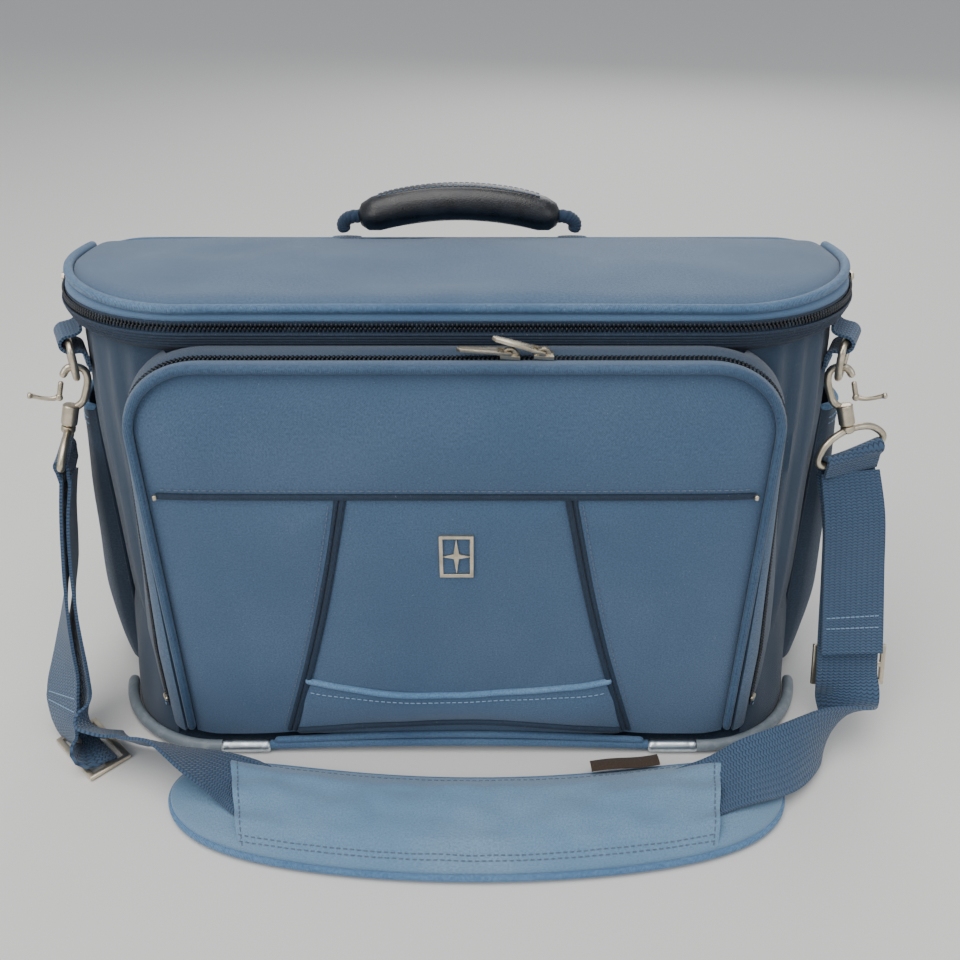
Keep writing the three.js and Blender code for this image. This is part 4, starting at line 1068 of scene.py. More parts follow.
for name, side in SIDES:

    def corner_point(u, v):
        z = 3.4 + (SPREAD_TOP - 3.4) * v
        angle = -66 + 68 * u
        foot_x, foot_y = base_edge(angle, -1.2)
        front, corner = front_at(z)
        a = math.radians(angle)
        top_x = BAG_HALF - corner + (corner + 1.5) * math.cos(a)
        top_y = front + corner + (corner + 1.5) * math.sin(a)
        share = (1 - v) ** 1.25
        crease = 1.1 * math.sin(u * 15 + v * 2) * math.sin(math.pi * min(1.0, v * 1.3)) * math.sin(math.pi * u)
        x = top_x + (foot_x - top_x) * share + crease * math.cos(a) - 3.0 * v**6
        y = top_y + (foot_y - top_y) * share + crease * math.sin(a) + 3.0 * v**6
        return Vector((side * x, y, z))

    spread_cloth = shaped_grid(f"foot_corner_cloth_{name}", 48, 30, corner_point, (0.08, 0.085))
    thicken(spread_cloth, 1.6, 0.0)
    # Painted shade: the corner cloth wears the darkened copy of the ballistic cloth.
    dress(spread_cloth, shade_darkened_cloth, "bag", "body_cloth")

# Sewn seams: a thin cord where each end meets the back.
trim_cloth = cloth(
    "dark_trim", "1d2f45", "101b29", "3c5876", 0.0009, 0.35, "Object", bump=0.5, sheen=0.1, roughness=0.6
)


def cord_of_cloth(name, route, radius, body, steps, finish, replaced=(), sides=10):
    """Piping: a strip of cloth sewn round a cord."""
    return dress(tube(name, route, radius, sides, steps), finish, body, "trim_cloth", *replaced)


for name, side in SIDES:
    lean = [out.dot(Vector((side, 1, 0))) for _, out in shell_plans[0]]
    turn = lean.index(max(lean)) / (len(lean) - 1)
    back_seam = [shell_point(turn, i / 56) + Vector((side * 0.5, 0.5, 0)) for i in range(1, 56, 3)]
    cord_of_cloth(f"back_seam_{name}", back_seam, 2.0, "bag", 50, trim_cloth)

# ---------- End pockets and back sleeve ----------
# Each end has a patch pocket gathered to a bulge, with a pale bound mouth. A flat sleeve on the back
# slips over a suitcase handle; its top is hemmed and open.
POUCH_LOW, POUCH_TOP, POUCH_BULGE = 12, 200, 22


def pouch_line(z, side, grow):
    """Points down one end at a height, from the corner curve back, pushed out by grow(share)."""
    front, corner = front_at(z)
    chain = [Vector((x, y, z)) for x, y in arc(BAG_HALF - corner, front + corner, corner, -22.5, 0, 8)]
    y0 = front + corner
    chain += [Vector((BAG_HALF, y0 + (BACK_Y - BACK_CORNER - y0) * i / 16, z)) for i in range(1, 17)]
    out = []
    for i, at in enumerate(chain):
        a, c = chain[max(0, i - 1)], chain[min(len(chain) - 1, i + 1)]
        n = Vector((c.y - a.y, a.x - c.x, 0)).normalized()
        p = at + n * grow(i / (len(chain) - 1))
        out.append(Vector((side * p.x, p.y, p.z)))
    return out


def pouch_full(z):
    if z < 60:
        return 0.55 + 0.45 * math.sin(math.pi / 2 * max(0.0, z - POUCH_LOW) / (60 - POUCH_LOW))
    return 1.0 - 0.45 * max(0.0, (z - 60) / 140) ** 1.4


binding_pale = cloth("pale_binding", "6088ae", "3f6388", "9ab8d2", 0.001, 0.6, "Object", bump=0.5, sheen=0.15)
for name, side in SIDES:

    def pouch_point(u, v):
        z = POUCH_LOW + (POUCH_TOP - POUCH_LOW) * v
        sag = noise.noise(Vector((u * 3.1, z * 0.02, side * 5.0))) * 2.6
        folds = 1.3 * math.sin(u * 17 + z * 0.03) * math.exp(-(((z - 30) / 32) ** 2))
        mouth = -1.5 * math.sin(math.pi * u) * max(0.0, (v - 0.9) / 0.1) ** 2
        line = pouch_line(z, side, lambda s: 2.2 + pouch_full(z) * POUCH_BULGE * math.sin(math.pi * s) ** 0.5)
        spot = line[min(len(line) - 1, round(u * (len(line) - 1)))]
        swell = (sag + folds + mouth) * math.sin(math.pi * u)
        return spot + Vector((side * swell, 0, -4.0 * math.sin(math.pi * u) * v**8))

    pouch = shaped_grid(f"end_pocket_cloth_{name}", 24, 48, pouch_point, (0.11, 0.188))
    thicken(pouch, 2.0, 0.0)
    # Painted shade: the end pocket wears the darkened copy of the ballistic cloth.
    dress(pouch, shade_darkened_cloth, "bag", "body_cloth", f"end_pocket_{name}")
    mouth_route = [pouch_point(i / 24, 1.0) for i in range(25)]
    cord_of_cloth(f"end_pocket_mouth_{name}", mouth_route, 2.3, "bag", 60, binding_pale)
    for part, u in (("front", 0.0), ("rear", 1.0)):
        edge = [pouch_point(u, i / 24) for i in range(25)]
        cord_of_cloth(f"end_pocket_edge_{part}_{name}", edge, 1.5, "bag", 50, trim_cloth)
    rows = []
    for v in (0.955, 0.935):
        rows.append(
            [
                (pouch_point(i / 24, round(v * 48) / 48) + Vector((side * 1.4, 0, 0)), Vector((side, 0, 0)))
                for i in range(1, 24)
            ]
        )
    stitches(f"end_pocket_stitching_{name}", rows, pale_thread, "bag")

SLEEVE_X, SLEEVE_LOW, SLEEVE_TOP_Z = 150, 30, 190


def back_sleeve_point(u, v):
    x = (2 * u - 1) * SLEEVE_X
    z = SLEEVE_LOW + (SLEEVE_TOP_Z - SLEEVE_LOW) * v
    lift = shoulder(2 * u - 1, 8) * (1 - max(0.0, 1 - v / 0.06) ** 2)
    ease = noise.noise(Vector((x * 0.012, z * 0.015, 11.0))) * 1.3
    mouth = -2.5 * math.sin(math.pi * u) * v**10
    return Vector((x, 76.4 + (5.4 + ease) * lift, z + mouth))


back_sleeve = shaped_grid("back_sleeve_cloth", 90, 48, back_sleeve_point, (0.3, 0.16))
thicken(back_sleeve, 1.8, 0.0)
dress(back_sleeve, panel_cloth, "bag", "body_cloth", "back_sleeve")
cord_of_cloth(
    "back_sleeve_hem", [back_sleeve_point(i / 30, 1.0) for i in range(31)], 1.8, "bag", 90, binding_cloth
)
back_rows = [
    [(back_sleeve_point(i / 90, v) + Vector((0, 1.1, 0)), Vector((0, 1, 0))) for i in range(91)]
    for v in (0.04, 0.94)
]
for u in (0.02, 0.98):
    back_rows.append(
        [(back_sleeve_point(u, i / 48) + Vector((0, 1.1, 0)), Vector((0, 1, 0))) for i in range(49)]
    )
stitches("back_sleeve_stitching", back_rows, pale_thread, "bag")

# ---------- Rim, lid zip and lid ----------
# The rim is a dark ribbed tape that stands out past the panels, with half of the lid's coil zip on top.
# The crowned lid hinges at the back and carries the other half, a cloth side strip and fat piping.
RIM_LOW = 258.0
ZIP_END_Y = 43
HINGE_Y = 46
CROWN_Y, CROWN_Z = -5, 287
PIPING_RADIUS = 2.6


def crown(x, y):
    return CROWN_Z - 9 * ((y - CROWN_Y) / 80) ** 2 - 2 * (abs(x) / BAG_HALF) ** 4


def front_chain(grow, end_y=ZIP_END_Y):
    """The lid's plan edge from the back left, round the front, to the back right, with outward normals."""
    half, front, big = BAG_HALF + grow, TOP_FRONT_Y - grow, TOP_CORNER + grow
    bend = arc(half - big, front + big, big, -90, 0, 26)
    right = [(p, math.radians(-90 + 90 * i / 26)) for i, p in enumerate(bend)]
    right += [((half, front + big + (end_y - front - big) * i / 5), 0.0) for i in range(1, 6)]
    middle = half - big
    flat = [((middle * k / 24, front), -math.pi / 2) for k in range(0, 24)]
    run = flat + right
    points = [(Vector((-x, y, 0)), Vector((-math.cos(a), math.sin(a), 0))) for (x, y), a in reversed(run)]
    points += [(Vector((x, y, 0)), Vector((math.cos(a), math.sin(a), 0))) for (x, y), a in run[1:]]
    return points


def band(name, profile, body, finish, thick, replaced=(), slot="trim_cloth", wave=None):
    """A strip round the rim. profile is (height, how far out) from its low edge to its top edge."""
    plans = [front_chain(grow) for _, grow in profile]
    last = len(plans[0]) - 1

    def place(u, v):
        k = round(v * (len(profile) - 1))
        at, out = plans[k][round(u * last)]
        push = wave(at, k) if wave else 0.0
        return Vector((at.x, at.y, profile[k][0])) + out * push

    piece = shaped_grid(name, last, len(profile) - 1, place, (1.0, 0.012))
    thicken(piece, thick, 0.0)
    return dress(piece, finish, body, slot, *replaced)


def flare(at, k):
    """The rim stands out more at the two ends, where its tape bends back."""
    return 2.2 * max(0.0, (abs(at.x) - 150) / 70) ** 2 * (k / 12)


rim_profile = [
    (RIM_LOW - 1.5, -0.5), (258.6, 1.2), (259.6, 3.2), (260.8, 4.4), (261.8, 4.1), (262.6, 5.0), (263.4, 4.6)
]
rim_profile += [(264.2, 5.4), (265.0, 5.0), (265.8, 5.7), (266.6, 5.3), (267.4, 5.8), (268.0, 5.4)]
band("rim_tape", rim_profile, "bag", trim_cloth, 1.6, ["rim_band"], wave=flare)
band(
    "lid_tape_low", [(267.6, 5.0), (268.6, 4.9), (269.6, 4.6), (270.4, 4.0)], "bag", trim_cloth, 1.0,
    slot="zip_coil", wave=flare
)
band(
    "lid_tape_top", [(271.9, 4.0), (272.6, 4.6), (273.6, 4.9), (274.4, 4.7)], "lid", trim_cloth, 1.0,
    slot="zip_coil", wave=flare
)

coil_black = moulded("coil_nylon", "10161e", "2a3541", 0.3)


def tooth():
    """One link of a nylon coil: a rounded bar across the tape."""
    clear_choice()
    bpy.ops.mesh.primitive_cube_add(size=MM)
    link = bpy.context.object
    for p in link.data.vertices:
        p.co = Vector((p.co.x * 1.35, p.co.y * 2.5, p.co.z * 1.5))
    bpy.ops.object.mode_set(mode="EDIT")
    bpy.ops.mesh.bevel(offset=0.00038, segments=1)
    bpy.ops.object.mode_set(mode="OBJECT")
    link.hide_render = link.hide_viewport = True
    return link


link = tooth()


def coil(name, line, body, phase, replaced):
    """A row of coil links along a line of (place, outward direction)."""
    run = lengths_along([p for p, _ in line])
    spots, k, pitch = [], 0, 2.3
    for n in range(int(run[-1] / pitch) - 1):
        d = (n + 0.5 + phase) * pitch
        while run[k + 1] < d:
            k += 1
        share = (d - run[k]) / (run[k + 1] - run[k])
        at = line[k][0].lerp(line[k + 1][0], share)
        out = line[k][1].lerp(line[k + 1][1], share).normalized()
        x = (line[k + 1][0] - line[k][0]).normalized()
        y = out.cross(x).normalized()
        spots.append(
            Matrix(((x.x, y.x, out.x, at.x), (x.y, y.y, out.y, at.y), (x.z, y.z, out.z, at.z), (0, 0, 0, 1)))
        )
    piece = scatter(name, link, spots)
    dress(piece, coil_black, body, "zip_coil", *replaced)
    return piece


def coil_line(z):
    return [(Vector((at.x, at.y, z)) + out * (5.0 + flare(at, 12) * 0.95), out) for at, out in front_chain(0)]


coil("lid_coil_low", coil_line(270.1), "bag", 0.0, ["lid_zip_lower"])
coil("lid_coil_top", coil_line(272.2), "lid", 0.5, ["lid_zip_upper"])

LID_SPAN = 219.0


def lid_front(x):
    """The lid's front edge at a place along its width."""
    over = abs(x) - (BAG_HALF - TOP_CORNER)
    if over <= 0:
        return TOP_FRONT_Y + 1.0
    reach = TOP_CORNER - 1.0
    return TOP_FRONT_Y + TOP_CORNER - math.sqrt(max(0.0, reach * reach - over * over))


def lid_point(u, v):
    t = 2 * u - 1
    if abs(t) < 0.5:
        x = t / 0.5 * 140
    else:
        x = math.copysign(140 + 79 * math.sin((abs(t) - 0.5) * math.pi), t)
    y0, y1 = lid_front(x), HINGE_Y - 0.4
    y = y0 + (y1 - y0) * v
    edge = min(y - y0, (LID_SPAN - abs(x)) * 1.2 + 2.0 * v)
    drop = 2.6 * max(0.0, 1 - edge / 12) ** 2
    dents = 3.6 * noise.noise(
        Vector((x * 0.011, y * 0.02, 3.0))
    ) + 1.0 * noise.noise(Vector((x * 0.03, y * 0.04, 9.0)))
    hold = min(1.0, edge / 26) * (1 - 0.6 * v**6)
    skew = 1.2 * math.exp(-(((x + 40) / 60) ** 2) - (((y + 20) / 30) ** 2))
    return Vector((x, y, crown(x, y) - drop + (dents - skew) * hold - 0.3))


lid_cloth = cloth("lid_cloth", "4d6683", "30475f", "768da6", 0.0009, 0.5, bump=0.5, sheen=0.3)
lid = shaped_grid("lid_top", 120, 40, lid_point, (0.44, 0.106))
lid.data.materials.append(lid_cloth)
lid.data.materials.append(lining)
thicken(lid, 4.0, -1.0, inside=1)
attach(lid, "lid")
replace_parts(lid, "lid_shell")


def follow_crown(name):
    """The pale strip between the zip and the piping: it rises with the lid's crown towards the back."""
    chain = front_chain(0.0, HINGE_Y - 0.4)
    last = len(chain) - 1

    def place(u, v):
        at, out = chain[round(u * last)]
        top = crown(at.x, at.y) - 3.0
        z = 274.1 + (top - 274.1) * v
        return Vector((at.x, at.y, z)) + out * (
            3.6 - 3.4 * v + 1.1 * math.sin(math.pi * v) + flare(at, 12) * (1 - v)
        )

    piece = shaped_grid(name, last, 8, place, (1.0, 0.009))
    thicken(piece, 2.0, -1.0)
    dress(
        piece, cloth("lid_strip_cloth", "5f7fa2", "3f5f82", "8aa8c6", 0.0009, 0.5, bump=0.5), "lid",
        "body_cloth"
    )


follow_crown("lid_side_strip")
piping_cloth = cloth(
    "piping_cloth", "47698c", "27425f", "86a5c2", 0.001, 0.65, "Object", bump=0.5, sheen=0.2, roughness=0.6
)
pipe_grow = PIPING_RADIUS + 0.4 - 1.0


def pipe_route():
    route = []
    for at, out in front_chain(pipe_grow, ZIP_END_Y + 1)[::2]:
        height = max(crown(at.x - out.x * pipe_grow, at.y - out.y * pipe_grow) - 2.2, 277)
        route.append(Vector((at.x, at.y, height)))
    return route


cord_of_cloth(
    "lid_edge_piping", pipe_route(), PIPING_RADIUS, "lid", 220, piping_cloth, replaced=["lid_piping"], sides=14
)

# ---------- Rear deck and carrying handle ----------
# Behind the hinge a fixed padded deck carries the handle: a moulded grip in glossy navy leather with a
# stitched seam along its top, on a ribbed cord that goes through it and down to two webbing patches.
DECK_TOP = 274.0
HANDLE_Y = 66
GRIP_HALF, GRIP_RADIUS = 62.5, 11.4
GRIP_END_Z, GRIP_RISE = 288.5, 10
HANDLE_CORD = 3.7
CORD_X = GRIP_HALF + 9


def softened(name, node, grain, rounds, puff=0.0):
    """A CAD solid as a soft one: its copy is remeshed to an even grain and its edges are worn round."""
    piece = copied(name, node)
    bpy.ops.object.mode_set(mode="EDIT")
    bpy.ops.mesh.select_all(action="SELECT")
    bpy.ops.mesh.remove_doubles(threshold=0.00001)
    bpy.ops.object.mode_set(mode="OBJECT")
    apply_modifier(piece, "even", "REMESH", mode="VOXEL", voxel_size=grain * MM)
    apply_modifier(piece, "soft", "SMOOTH", factor=0.5, iterations=rounds)
    for p in piece.data.vertices:
        p.co += p.normal * (puff + 0.5 * noise.noise(p.co * 40)) * MM
    bpy.ops.object.shade_smooth()
    return piece


deck = softened("rear_deck_pad", "rear_deck", 1.8, 5, 0.3)
dress(deck, panel_solid, "bag", "body_cloth")
deck_route = [Vector((x, 47.2, 273.4)) for x in (-216, -150, -80, 0, 80, 150, 216)]
cord_of_cloth("deck_hinge_seam", deck_route, 1.3, "bag", 60, trim_cloth)
rear_edge = [Vector((at.x, at.y, 272.6)) for at, _ in plan(TOP_FRONT_Y, TOP_CORNER, -1.2)[:15]]
rear_edge = [p for p in rear_edge if p.y > 50]
rear_route = [
    Vector((-p.x, p.y, p.z)) for p in reversed(rear_edge)
][:-1] + [Vector((0, BACK_Y - 1.2, 272.6))] + rear_edge[1:]
cord_of_cloth("deck_rear_piping", rear_route, 2.2, "bag", 130, piping_cloth)

for name, side in SIDES:
    patch_stations = [
        (Vector((side * (CORD_X + d), HANDLE_Y, 275.2 + rise)), Vector((0, 1, 0)))
        for d, rise in ((-9, -0.4), (-6, 0.0), (-3, 0.1), (0, 0.2), (3, 0.1), (6, 0.0), (9, -0.4))
    ]
    patch = webbing(f"handle_patch_cloth_{name}", patch_stations, 15, 1.6)
    dress(patch, strap_cloth, "bag", "webbing", f"handle_patch_{name}")


def grip_at(u):
    return Vector((u * GRIP_HALF, HANDLE_Y, GRIP_END_Z + GRIP_RISE * (1 - u * u)))


def grip_swell(u, angle):
    """Fuller in the middle, tapered to the ends, a little flat underneath and raised along the top seam."""
    t = 2 * u - 1
    taper = 0.84 + 0.16 * max(0.0, 1 - abs(t) ** 5) ** 0.6
    low = 1 - 0.1 * max(0.0, -math.cos(angle)) ** 2
    return taper * low


grip = tube(
    "handle_grip_body", [grip_at(t) for t in (-1, -0.6, -0.2, 0.2, 0.6, 1)], GRIP_RADIUS, 40, 90,
    ripple=grip_swell, upright=Vector((0, 0, 1))
)


def leather(name, colour, deep):
    finish, tree, shader = new_finish(name, 0.34, 0.0, 0.5)
    shader.inputs["Coat Weight"].default_value = 0.35
    shader.inputs["Coat Roughness"].default_value = 0.25
    spots = put(tree, "ShaderNodeTexCoord").outputs["Object"]
    pores = put(
        tree, "ShaderNodeTexVoronoi", [("feature", "DISTANCE_TO_EDGE")], Vector=spots, Scale=750.0
    ).outputs["Distance"]
    creases = speckle(tree, spots, 90.0, 4.0, 0.6)
    shade = blend_colours(tree, spread(tree, creases, 0.42, 0.68), tint(deep), tint(colour))
    tree.links.new(shade, shader.inputs["Base Color"])
    tree.links.new(spread(tree, creases, 0.35, 0.7, 0.26, 0.46), shader.inputs["Roughness"])
    skin = sums(tree, "ADD", sums(tree, "MULTIPLY", spread(tree, pores, 0.0, 0.25), 0.5), creases)
    raised = put(tree, "ShaderNodeBump", Height=skin, Strength=0.35, Distance=0.0005)
    tree.links.new(raised.outputs[0], shader.inputs["Normal"])
    return finish


grip_leather = leather("navy_leather", "121823", "080b12")
dress(grip, grip_leather, "handle", "grip_leather", "handle_grip")


def seam_flap(u, v):
    t = (2 * u - 1) * 0.84
    s = 2 * v - 1
    at = grip_at(t)
    reach = GRIP_RADIUS * grip_swell((t + 1) / 2, 0)
    wide = 5.4 * (1 - 0.35 * abs(2 * u - 1) ** 6)
    y = s * wide
    high = math.sqrt(max(0.0, reach * reach - y * y)) + 1.0 * (1 - abs(s) ** 6) * (1 - abs(2 * u - 1) ** 20)
    return Vector((at.x, at.y + y, at.z + high - 0.25))


flap_strip = shaped_grid("handle_seam_flap", 70, 12, seam_flap, (0.105, 0.011))
thicken(flap_strip, 1.6, -1.0)
dress(flap_strip, grip_leather, "handle", "grip_leather")
flap_rows = [
    [
        (seam_flap(0.02 + 0.96 * i / 60, v) + Vector((0, 0, 0.25)), Vector((0, (v - 0.5) * 1.2, 1)))
        for i in range(61)
    ]
    for v in (0.14, 0.86)
]
stitches("handle_stitching", flap_rows, dark_thread, "handle", 3.4)


def rope_twist(u, angle):
    return 1.0 + 0.13 * abs(math.sin(0.5 * (angle * 3 + u * 95)))


pivot_z = DECK_TOP + 0.4 + 2 + 0.4 + HANDLE_CORD + 0.3
half_cord = [(CORD_X, pivot_z - 0.4), (CORD_X + 0.8, pivot_z + 5), (CORD_X - 3, GRIP_END_Z + 1.0)]
for name, side in SIDES:
    route = [
        Vector((side * x, HANDLE_Y, z)) for x, z in half_cord
    ] + [grip_at(side * 0.86), grip_at(side * 0.7)]
    rope = tube(f"handle_rope_{name}", route, HANDLE_CORD, 24, 90, ripple=rope_twist)
    dress(
        rope, cloth(f"rope_braid_{name}", "243a54", "142236", "46607c", 0.0009, 0.3, bump=0.6), "handle",
        "webbing", "handle_cord"
    )

# ---------- Front pocket ----------
# A boxed pocket on the front. A gusset in the darkened shell cloth, painted with shade, holds its rear half, and its
# whole padded face folds down with a narrow gusset of its own; a coil zip runs up both sides and over the top between
# them.
POCKET_HALF, POCKET_TOP, POCKET_CORNER = 168, 262, 40
FACE_Y = -97
FLAP_LOW = 11.0
ZIP_LOW = 30


def pocket_line(inset, low, corner_steps=14, side_steps=44, top_steps=60):
    """The pocket's edge in the X-Z plane, from the left foot over the top to the right foot."""
    half, top, bend = POCKET_HALF - inset, POCKET_TOP - inset, POCKET_CORNER - inset
    run = []
    for i in range(side_steps):
        run.append(((-half, low + (top - bend - low) * i / side_steps), (-1, 0)))
    for i in range(corner_steps):
        a = math.radians(180 - 90 * i / corner_steps)
        run.append(
            ((-half + bend + bend * math.cos(a), top - bend + bend * math.sin(a)), (math.cos(a), math.sin(a)))
        )
    for i in range(top_steps):
        run.append(((-half + bend + 2 * (half - bend) * i / top_steps, top), (0, 1)))
    right = [((-x, z), (-nx, nz)) for (x, z), (nx, nz) in reversed(run[: side_steps + corner_steps])]
    run.append(((half - bend, top), (0, 1)))
    return [(Vector((x, 0, z)), Vector((nx, 0, nz))) for (x, z), (nx, nz) in run + right]


def spill(at, out, y):
    """How far the cloth stands out past the face at a depth: little at the top corners, more near the foot."""
    back = max(0.0, min(1.0, (y - FACE_Y - 1) / 29))
    low = max(0.0, min(1.0, (235 - at.z) / 165))
    return (7 + 18 * low) * back**0.5 * abs(out.x) ** 2


def gusset_strip(
    name, depths, low, body, finish, inset=0.0, swell=0.0, thick=2.0, replaced=(), slot="body_cloth", fit=None
):
    """A strip round the pocket's edge between two depths, its cloth swelling a little between them."""
    line = pocket_line(inset, low)
    last = len(line) - 1
    rows = 10

    def place(u, v):
        at, out = line[round(u * last)]
        y0, y1 = depths
        if fit:
            y1 = fit(at + out * spill(at, out, -66))
        y = y0 + (y1 - y0) * v
        ease = noise.noise(Vector((at.x * 0.015, at.z * 0.02, y * 0.05))) * swell
        return Vector((at.x, y, at.z)) + out * ((swell + ease) * math.sin(math.pi * v) + spill(at, out, y))

    piece = shaped_grid(name, last, rows, place, (0.78, abs(depths[1] - depths[0]) * MM))
    thicken(piece, thick, -1.0, inside=0)
    return dress(piece, finish, body, slot, *replaced)


def body_front(at):
    """How far back the gusset goes to reach the front panel or the rim."""
    front, corner = front_at(min(at.z, WALL_TOP))
    over = abs(at.x) - (BAG_HALF - corner)
    curve = front + corner - math.sqrt(max(0.0, corner * corner - over * over)) if over > 0 else front
    return curve + 1.5 if at.z < 256 else curve - 7.0


gusset_cloth = cloth("gusset_cloth", "4f6884", "304660", "748ca6", 0.0009, 0.5, bump=0.5)
# Painted shade: the rear gusset wears the darkened copy of the ballistic cloth.
gusset_strip(
    "pocket_gusset_cloth", (-82.2, -66), 8, "bag", shade_darkened_cloth, swell=1.2, replaced=["pocket_gusset"],
    fit=body_front
)
gusset_strip(
    "pocket_face_gusset", (-95.0, -87.2), FLAP_LOW, "pocket_flap", gusset_cloth, swell=0.7, thick=1.8,
    replaced=["pocket_flap_gusset"]
)
gusset_strip("pocket_tape_rear", (-83.9, -82.0), 12, "bag", trim_cloth, inset=1.0, thick=1.2, slot="zip_coil")
gusset_strip(
    "pocket_tape_front", (-87.4, -85.7), FLAP_LOW, "pocket_flap", trim_cloth, inset=1.0, thick=1.2,
    slot="zip_coil"
)
zip_line = pocket_line(0.0, ZIP_LOW)
for name, depth, body, phase in (("front", -86.1, "pocket_flap", 0.0), ("rear", -83.6, "bag", 0.5)):
    row = [(p + Vector((0, depth, 0)) + n * (spill(p, n, depth) + 0.1), n) for p, n in zip_line]
    coil(f"pocket_coil_{name}", row, body, phase, [f"pocket_zip_{name}"])

# The face is three padded panels under a wide top panel, with piping sewn into every seam between them.
CROSS_Z = 187.0
RAKE_TOP, RAKE_FOOT = 60.0, 104.0


def face_half(z):
    """Half the face's width at a height, inside the piping."""
    half, top, bend = POCKET_HALF - 2.6, POCKET_TOP - 2.6, POCKET_CORNER - 2.6
    over = z - (top - bend)
    if over <= 0:
        return half
    return half - bend + math.sqrt(max(0.0, bend * bend - over * over))


def rake_at(z, side):
    """The raking seam's place along X at a height: it bows outwards a little."""
    share = (CROSS_Z - z) / (CROSS_Z - FLAP_LOW)
    return side * (
        RAKE_TOP + (RAKE_FOOT - RAKE_TOP) * share - 3.0 * math.sin(math.pi * min(1.0, max(0.0, share)))
    )


def face_y(x, z):
    """The padded face: proud in the middle of each panel and drawn in along the seams."""
    edge = min(POCKET_HALF - 3 - abs(x), POCKET_TOP - 3 - z, z - FLAP_LOW + 14)
    corner_x, corner_z = abs(x) - (POCKET_HALF - POCKET_CORNER), z - (POCKET_TOP - POCKET_CORNER)
    if corner_x > 0 and corner_z > 0:
        edge = min(edge, POCKET_CORNER - 3 - math.hypot(corner_x, corner_z))
    seam = abs(z - CROSS_Z)
    if z < CROSS_Z:
        seam = min(seam, abs(x - rake_at(z, -1)) * 0.97, abs(x - rake_at(z, 1)) * 0.97)
    soft_edge = 1 - math.exp(-max(0.0, edge) / 13)
    soft_seam = 1 - math.exp(-seam / 11)
    waves = 2.3 * noise.noise(
        Vector((x * 0.013, z * 0.016, 21.0))
    ) + 0.7 * noise.noise(Vector((x * 0.034, z * 0.03, 2.0)))
    puff = 5.2 * soft_edge * (0.4 + 0.6 * soft_seam)
    return FACE_Y + 2.6 - puff - waves * soft_edge * soft_seam


def face_point(u, v):
    z = FLAP_LOW + (POCKET_TOP - 2.7 - FLAP_LOW) * v
    if v > 0.8:
        z = FLAP_LOW + (POCKET_TOP - 2.7 - FLAP_LOW) * (0.8 + 0.2 * math.sin((v - 0.8) / 0.2 * math.pi / 2))
    x = (2 * u - 1) * face_half(z)
    return Vector((x, face_y(x, z), z))


face = shaped_grid("pocket_face_panels", 150, 116, face_point, (0.33, 0.25))
face.data.materials.append(panel_cloth)
face.data.materials.append(lining)
thicken(face, 4.5, -1.0, inside=1)
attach(face, "pocket_flap")
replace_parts(face, "pocket_face")

edge_cloth = cloth(
    "pocket_piping_cloth", "3a5674", "22374f", "6b89a8", 0.0009, 0.5, "Object", bump=0.5, sheen=0.15,
    roughness=0.62
)
edge_line = pocket_line(0.5, 14.5, 10, 16, 20)
cord_of_cloth(
    "pocket_edge_piping", [p + Vector((0, FACE_Y + 0.2, 0)) for p, _ in edge_line], PIPING_RADIUS,
    "pocket_flap", 240, edge_cloth, replaced=["pocket_piping"], sides=12
)


def on_face(x, z, proud=0.0):
    return Vector((x, face_y(x, z) - proud, z))


cross_route = [on_face(-161 + 322 * i / 24, CROSS_Z, 0.6) for i in range(25)]
cord_of_cloth("face_cross_piping", cross_route, 1.9, "pocket_flap", 120, trim_cloth)
for name, side in SIDES:
    for part, shift, radius in (("inner", 0.0, 1.9), ("outer", 3.4, 1.5)):
        rake = []
        for i in range(19):
            z = CROSS_Z - (CROSS_Z - FLAP_LOW - 2) * i / 18
            x = rake_at(z, side)
            rake.append(on_face(x, z, 0.6) + Vector((side * shift, 0, 0)))
        cord_of_cloth(f"face_rake_piping_{part}_{name}", rake, radius, "pocket_flap", 70, trim_cloth)


def face_row(points):
    return [(on_face(x, z, 0.35), Vector((0, -1, 0))) for x, z in points]


face_rows = [face_row([(-158 + 316 * i / 90, CROSS_Z + 4.2) for i in range(91)])]
face_rows += [
    face_row(
        [(rake_at(CROSS_Z - 4 - 168 * i / 60, s) + s * 7.2, CROSS_Z - 4 - 168 * i / 60) for i in range(61)]
    )
    for s in (-1, 1)
]
stitches("face_stitching", face_rows, dark_thread, "pocket_flap", 3.8)

# A low slip pocket crosses the middle panel's foot. Its mouth dips and is bound with a paler strip.
def low_mouth(x):
    return 47 + 9 * (x / 92) ** 2


def low_point(u, v):
    z0 = 25 - 10 * (2 * u - 1) ** 2
    x0 = (2 * u - 1) * 101
    x1 = (2 * u - 1) * 92.5
    z = z0 + (low_mouth(x1) - z0) * v
    x = x0 + (x1 - x0) * v
    bulge = 2.8 * math.sin(math.pi * min(1.0, v * 0.9 + 0.1)) * shoulder(2 * u - 1, 4)
    ease = 1.0 * noise.noise(Vector((x * 0.03, z * 0.05, 31.0)))
    return Vector((x, face_y(x, z) - 1.0 - bulge - ease, z))


low_panel = shaped_grid("low_pocket_cloth", 80, 20, low_point, (0.2, 0.035))
thicken(low_panel, 1.8, -1.0)
dress(low_panel, panel_cloth, "pocket_flap", "body_cloth", "low_pocket_panel")
cord_of_cloth(
    "low_pocket_mouth", [low_point(i / 24, 1.0) for i in range(25)], 2.0, "pocket_flap", 90, binding_pale
)
cord_of_cloth(
    "low_pocket_foot", [low_point(i / 24, 0.0) + Vector((0, -0.6, 0)) for i in range(25)], 2.2, "pocket_flap",
    90, trim_cloth
)
low_rows = [
    [(low_point(0.02 + 0.96 * i / 80, v) + Vector((0, -0.4, 0)), Vector((0, -1, 0))) for i in range(81)]
    for v in (0.8,)
]
stitches("low_pocket_stitching", low_rows, pale_thread, "pocket_flap", 3.6)

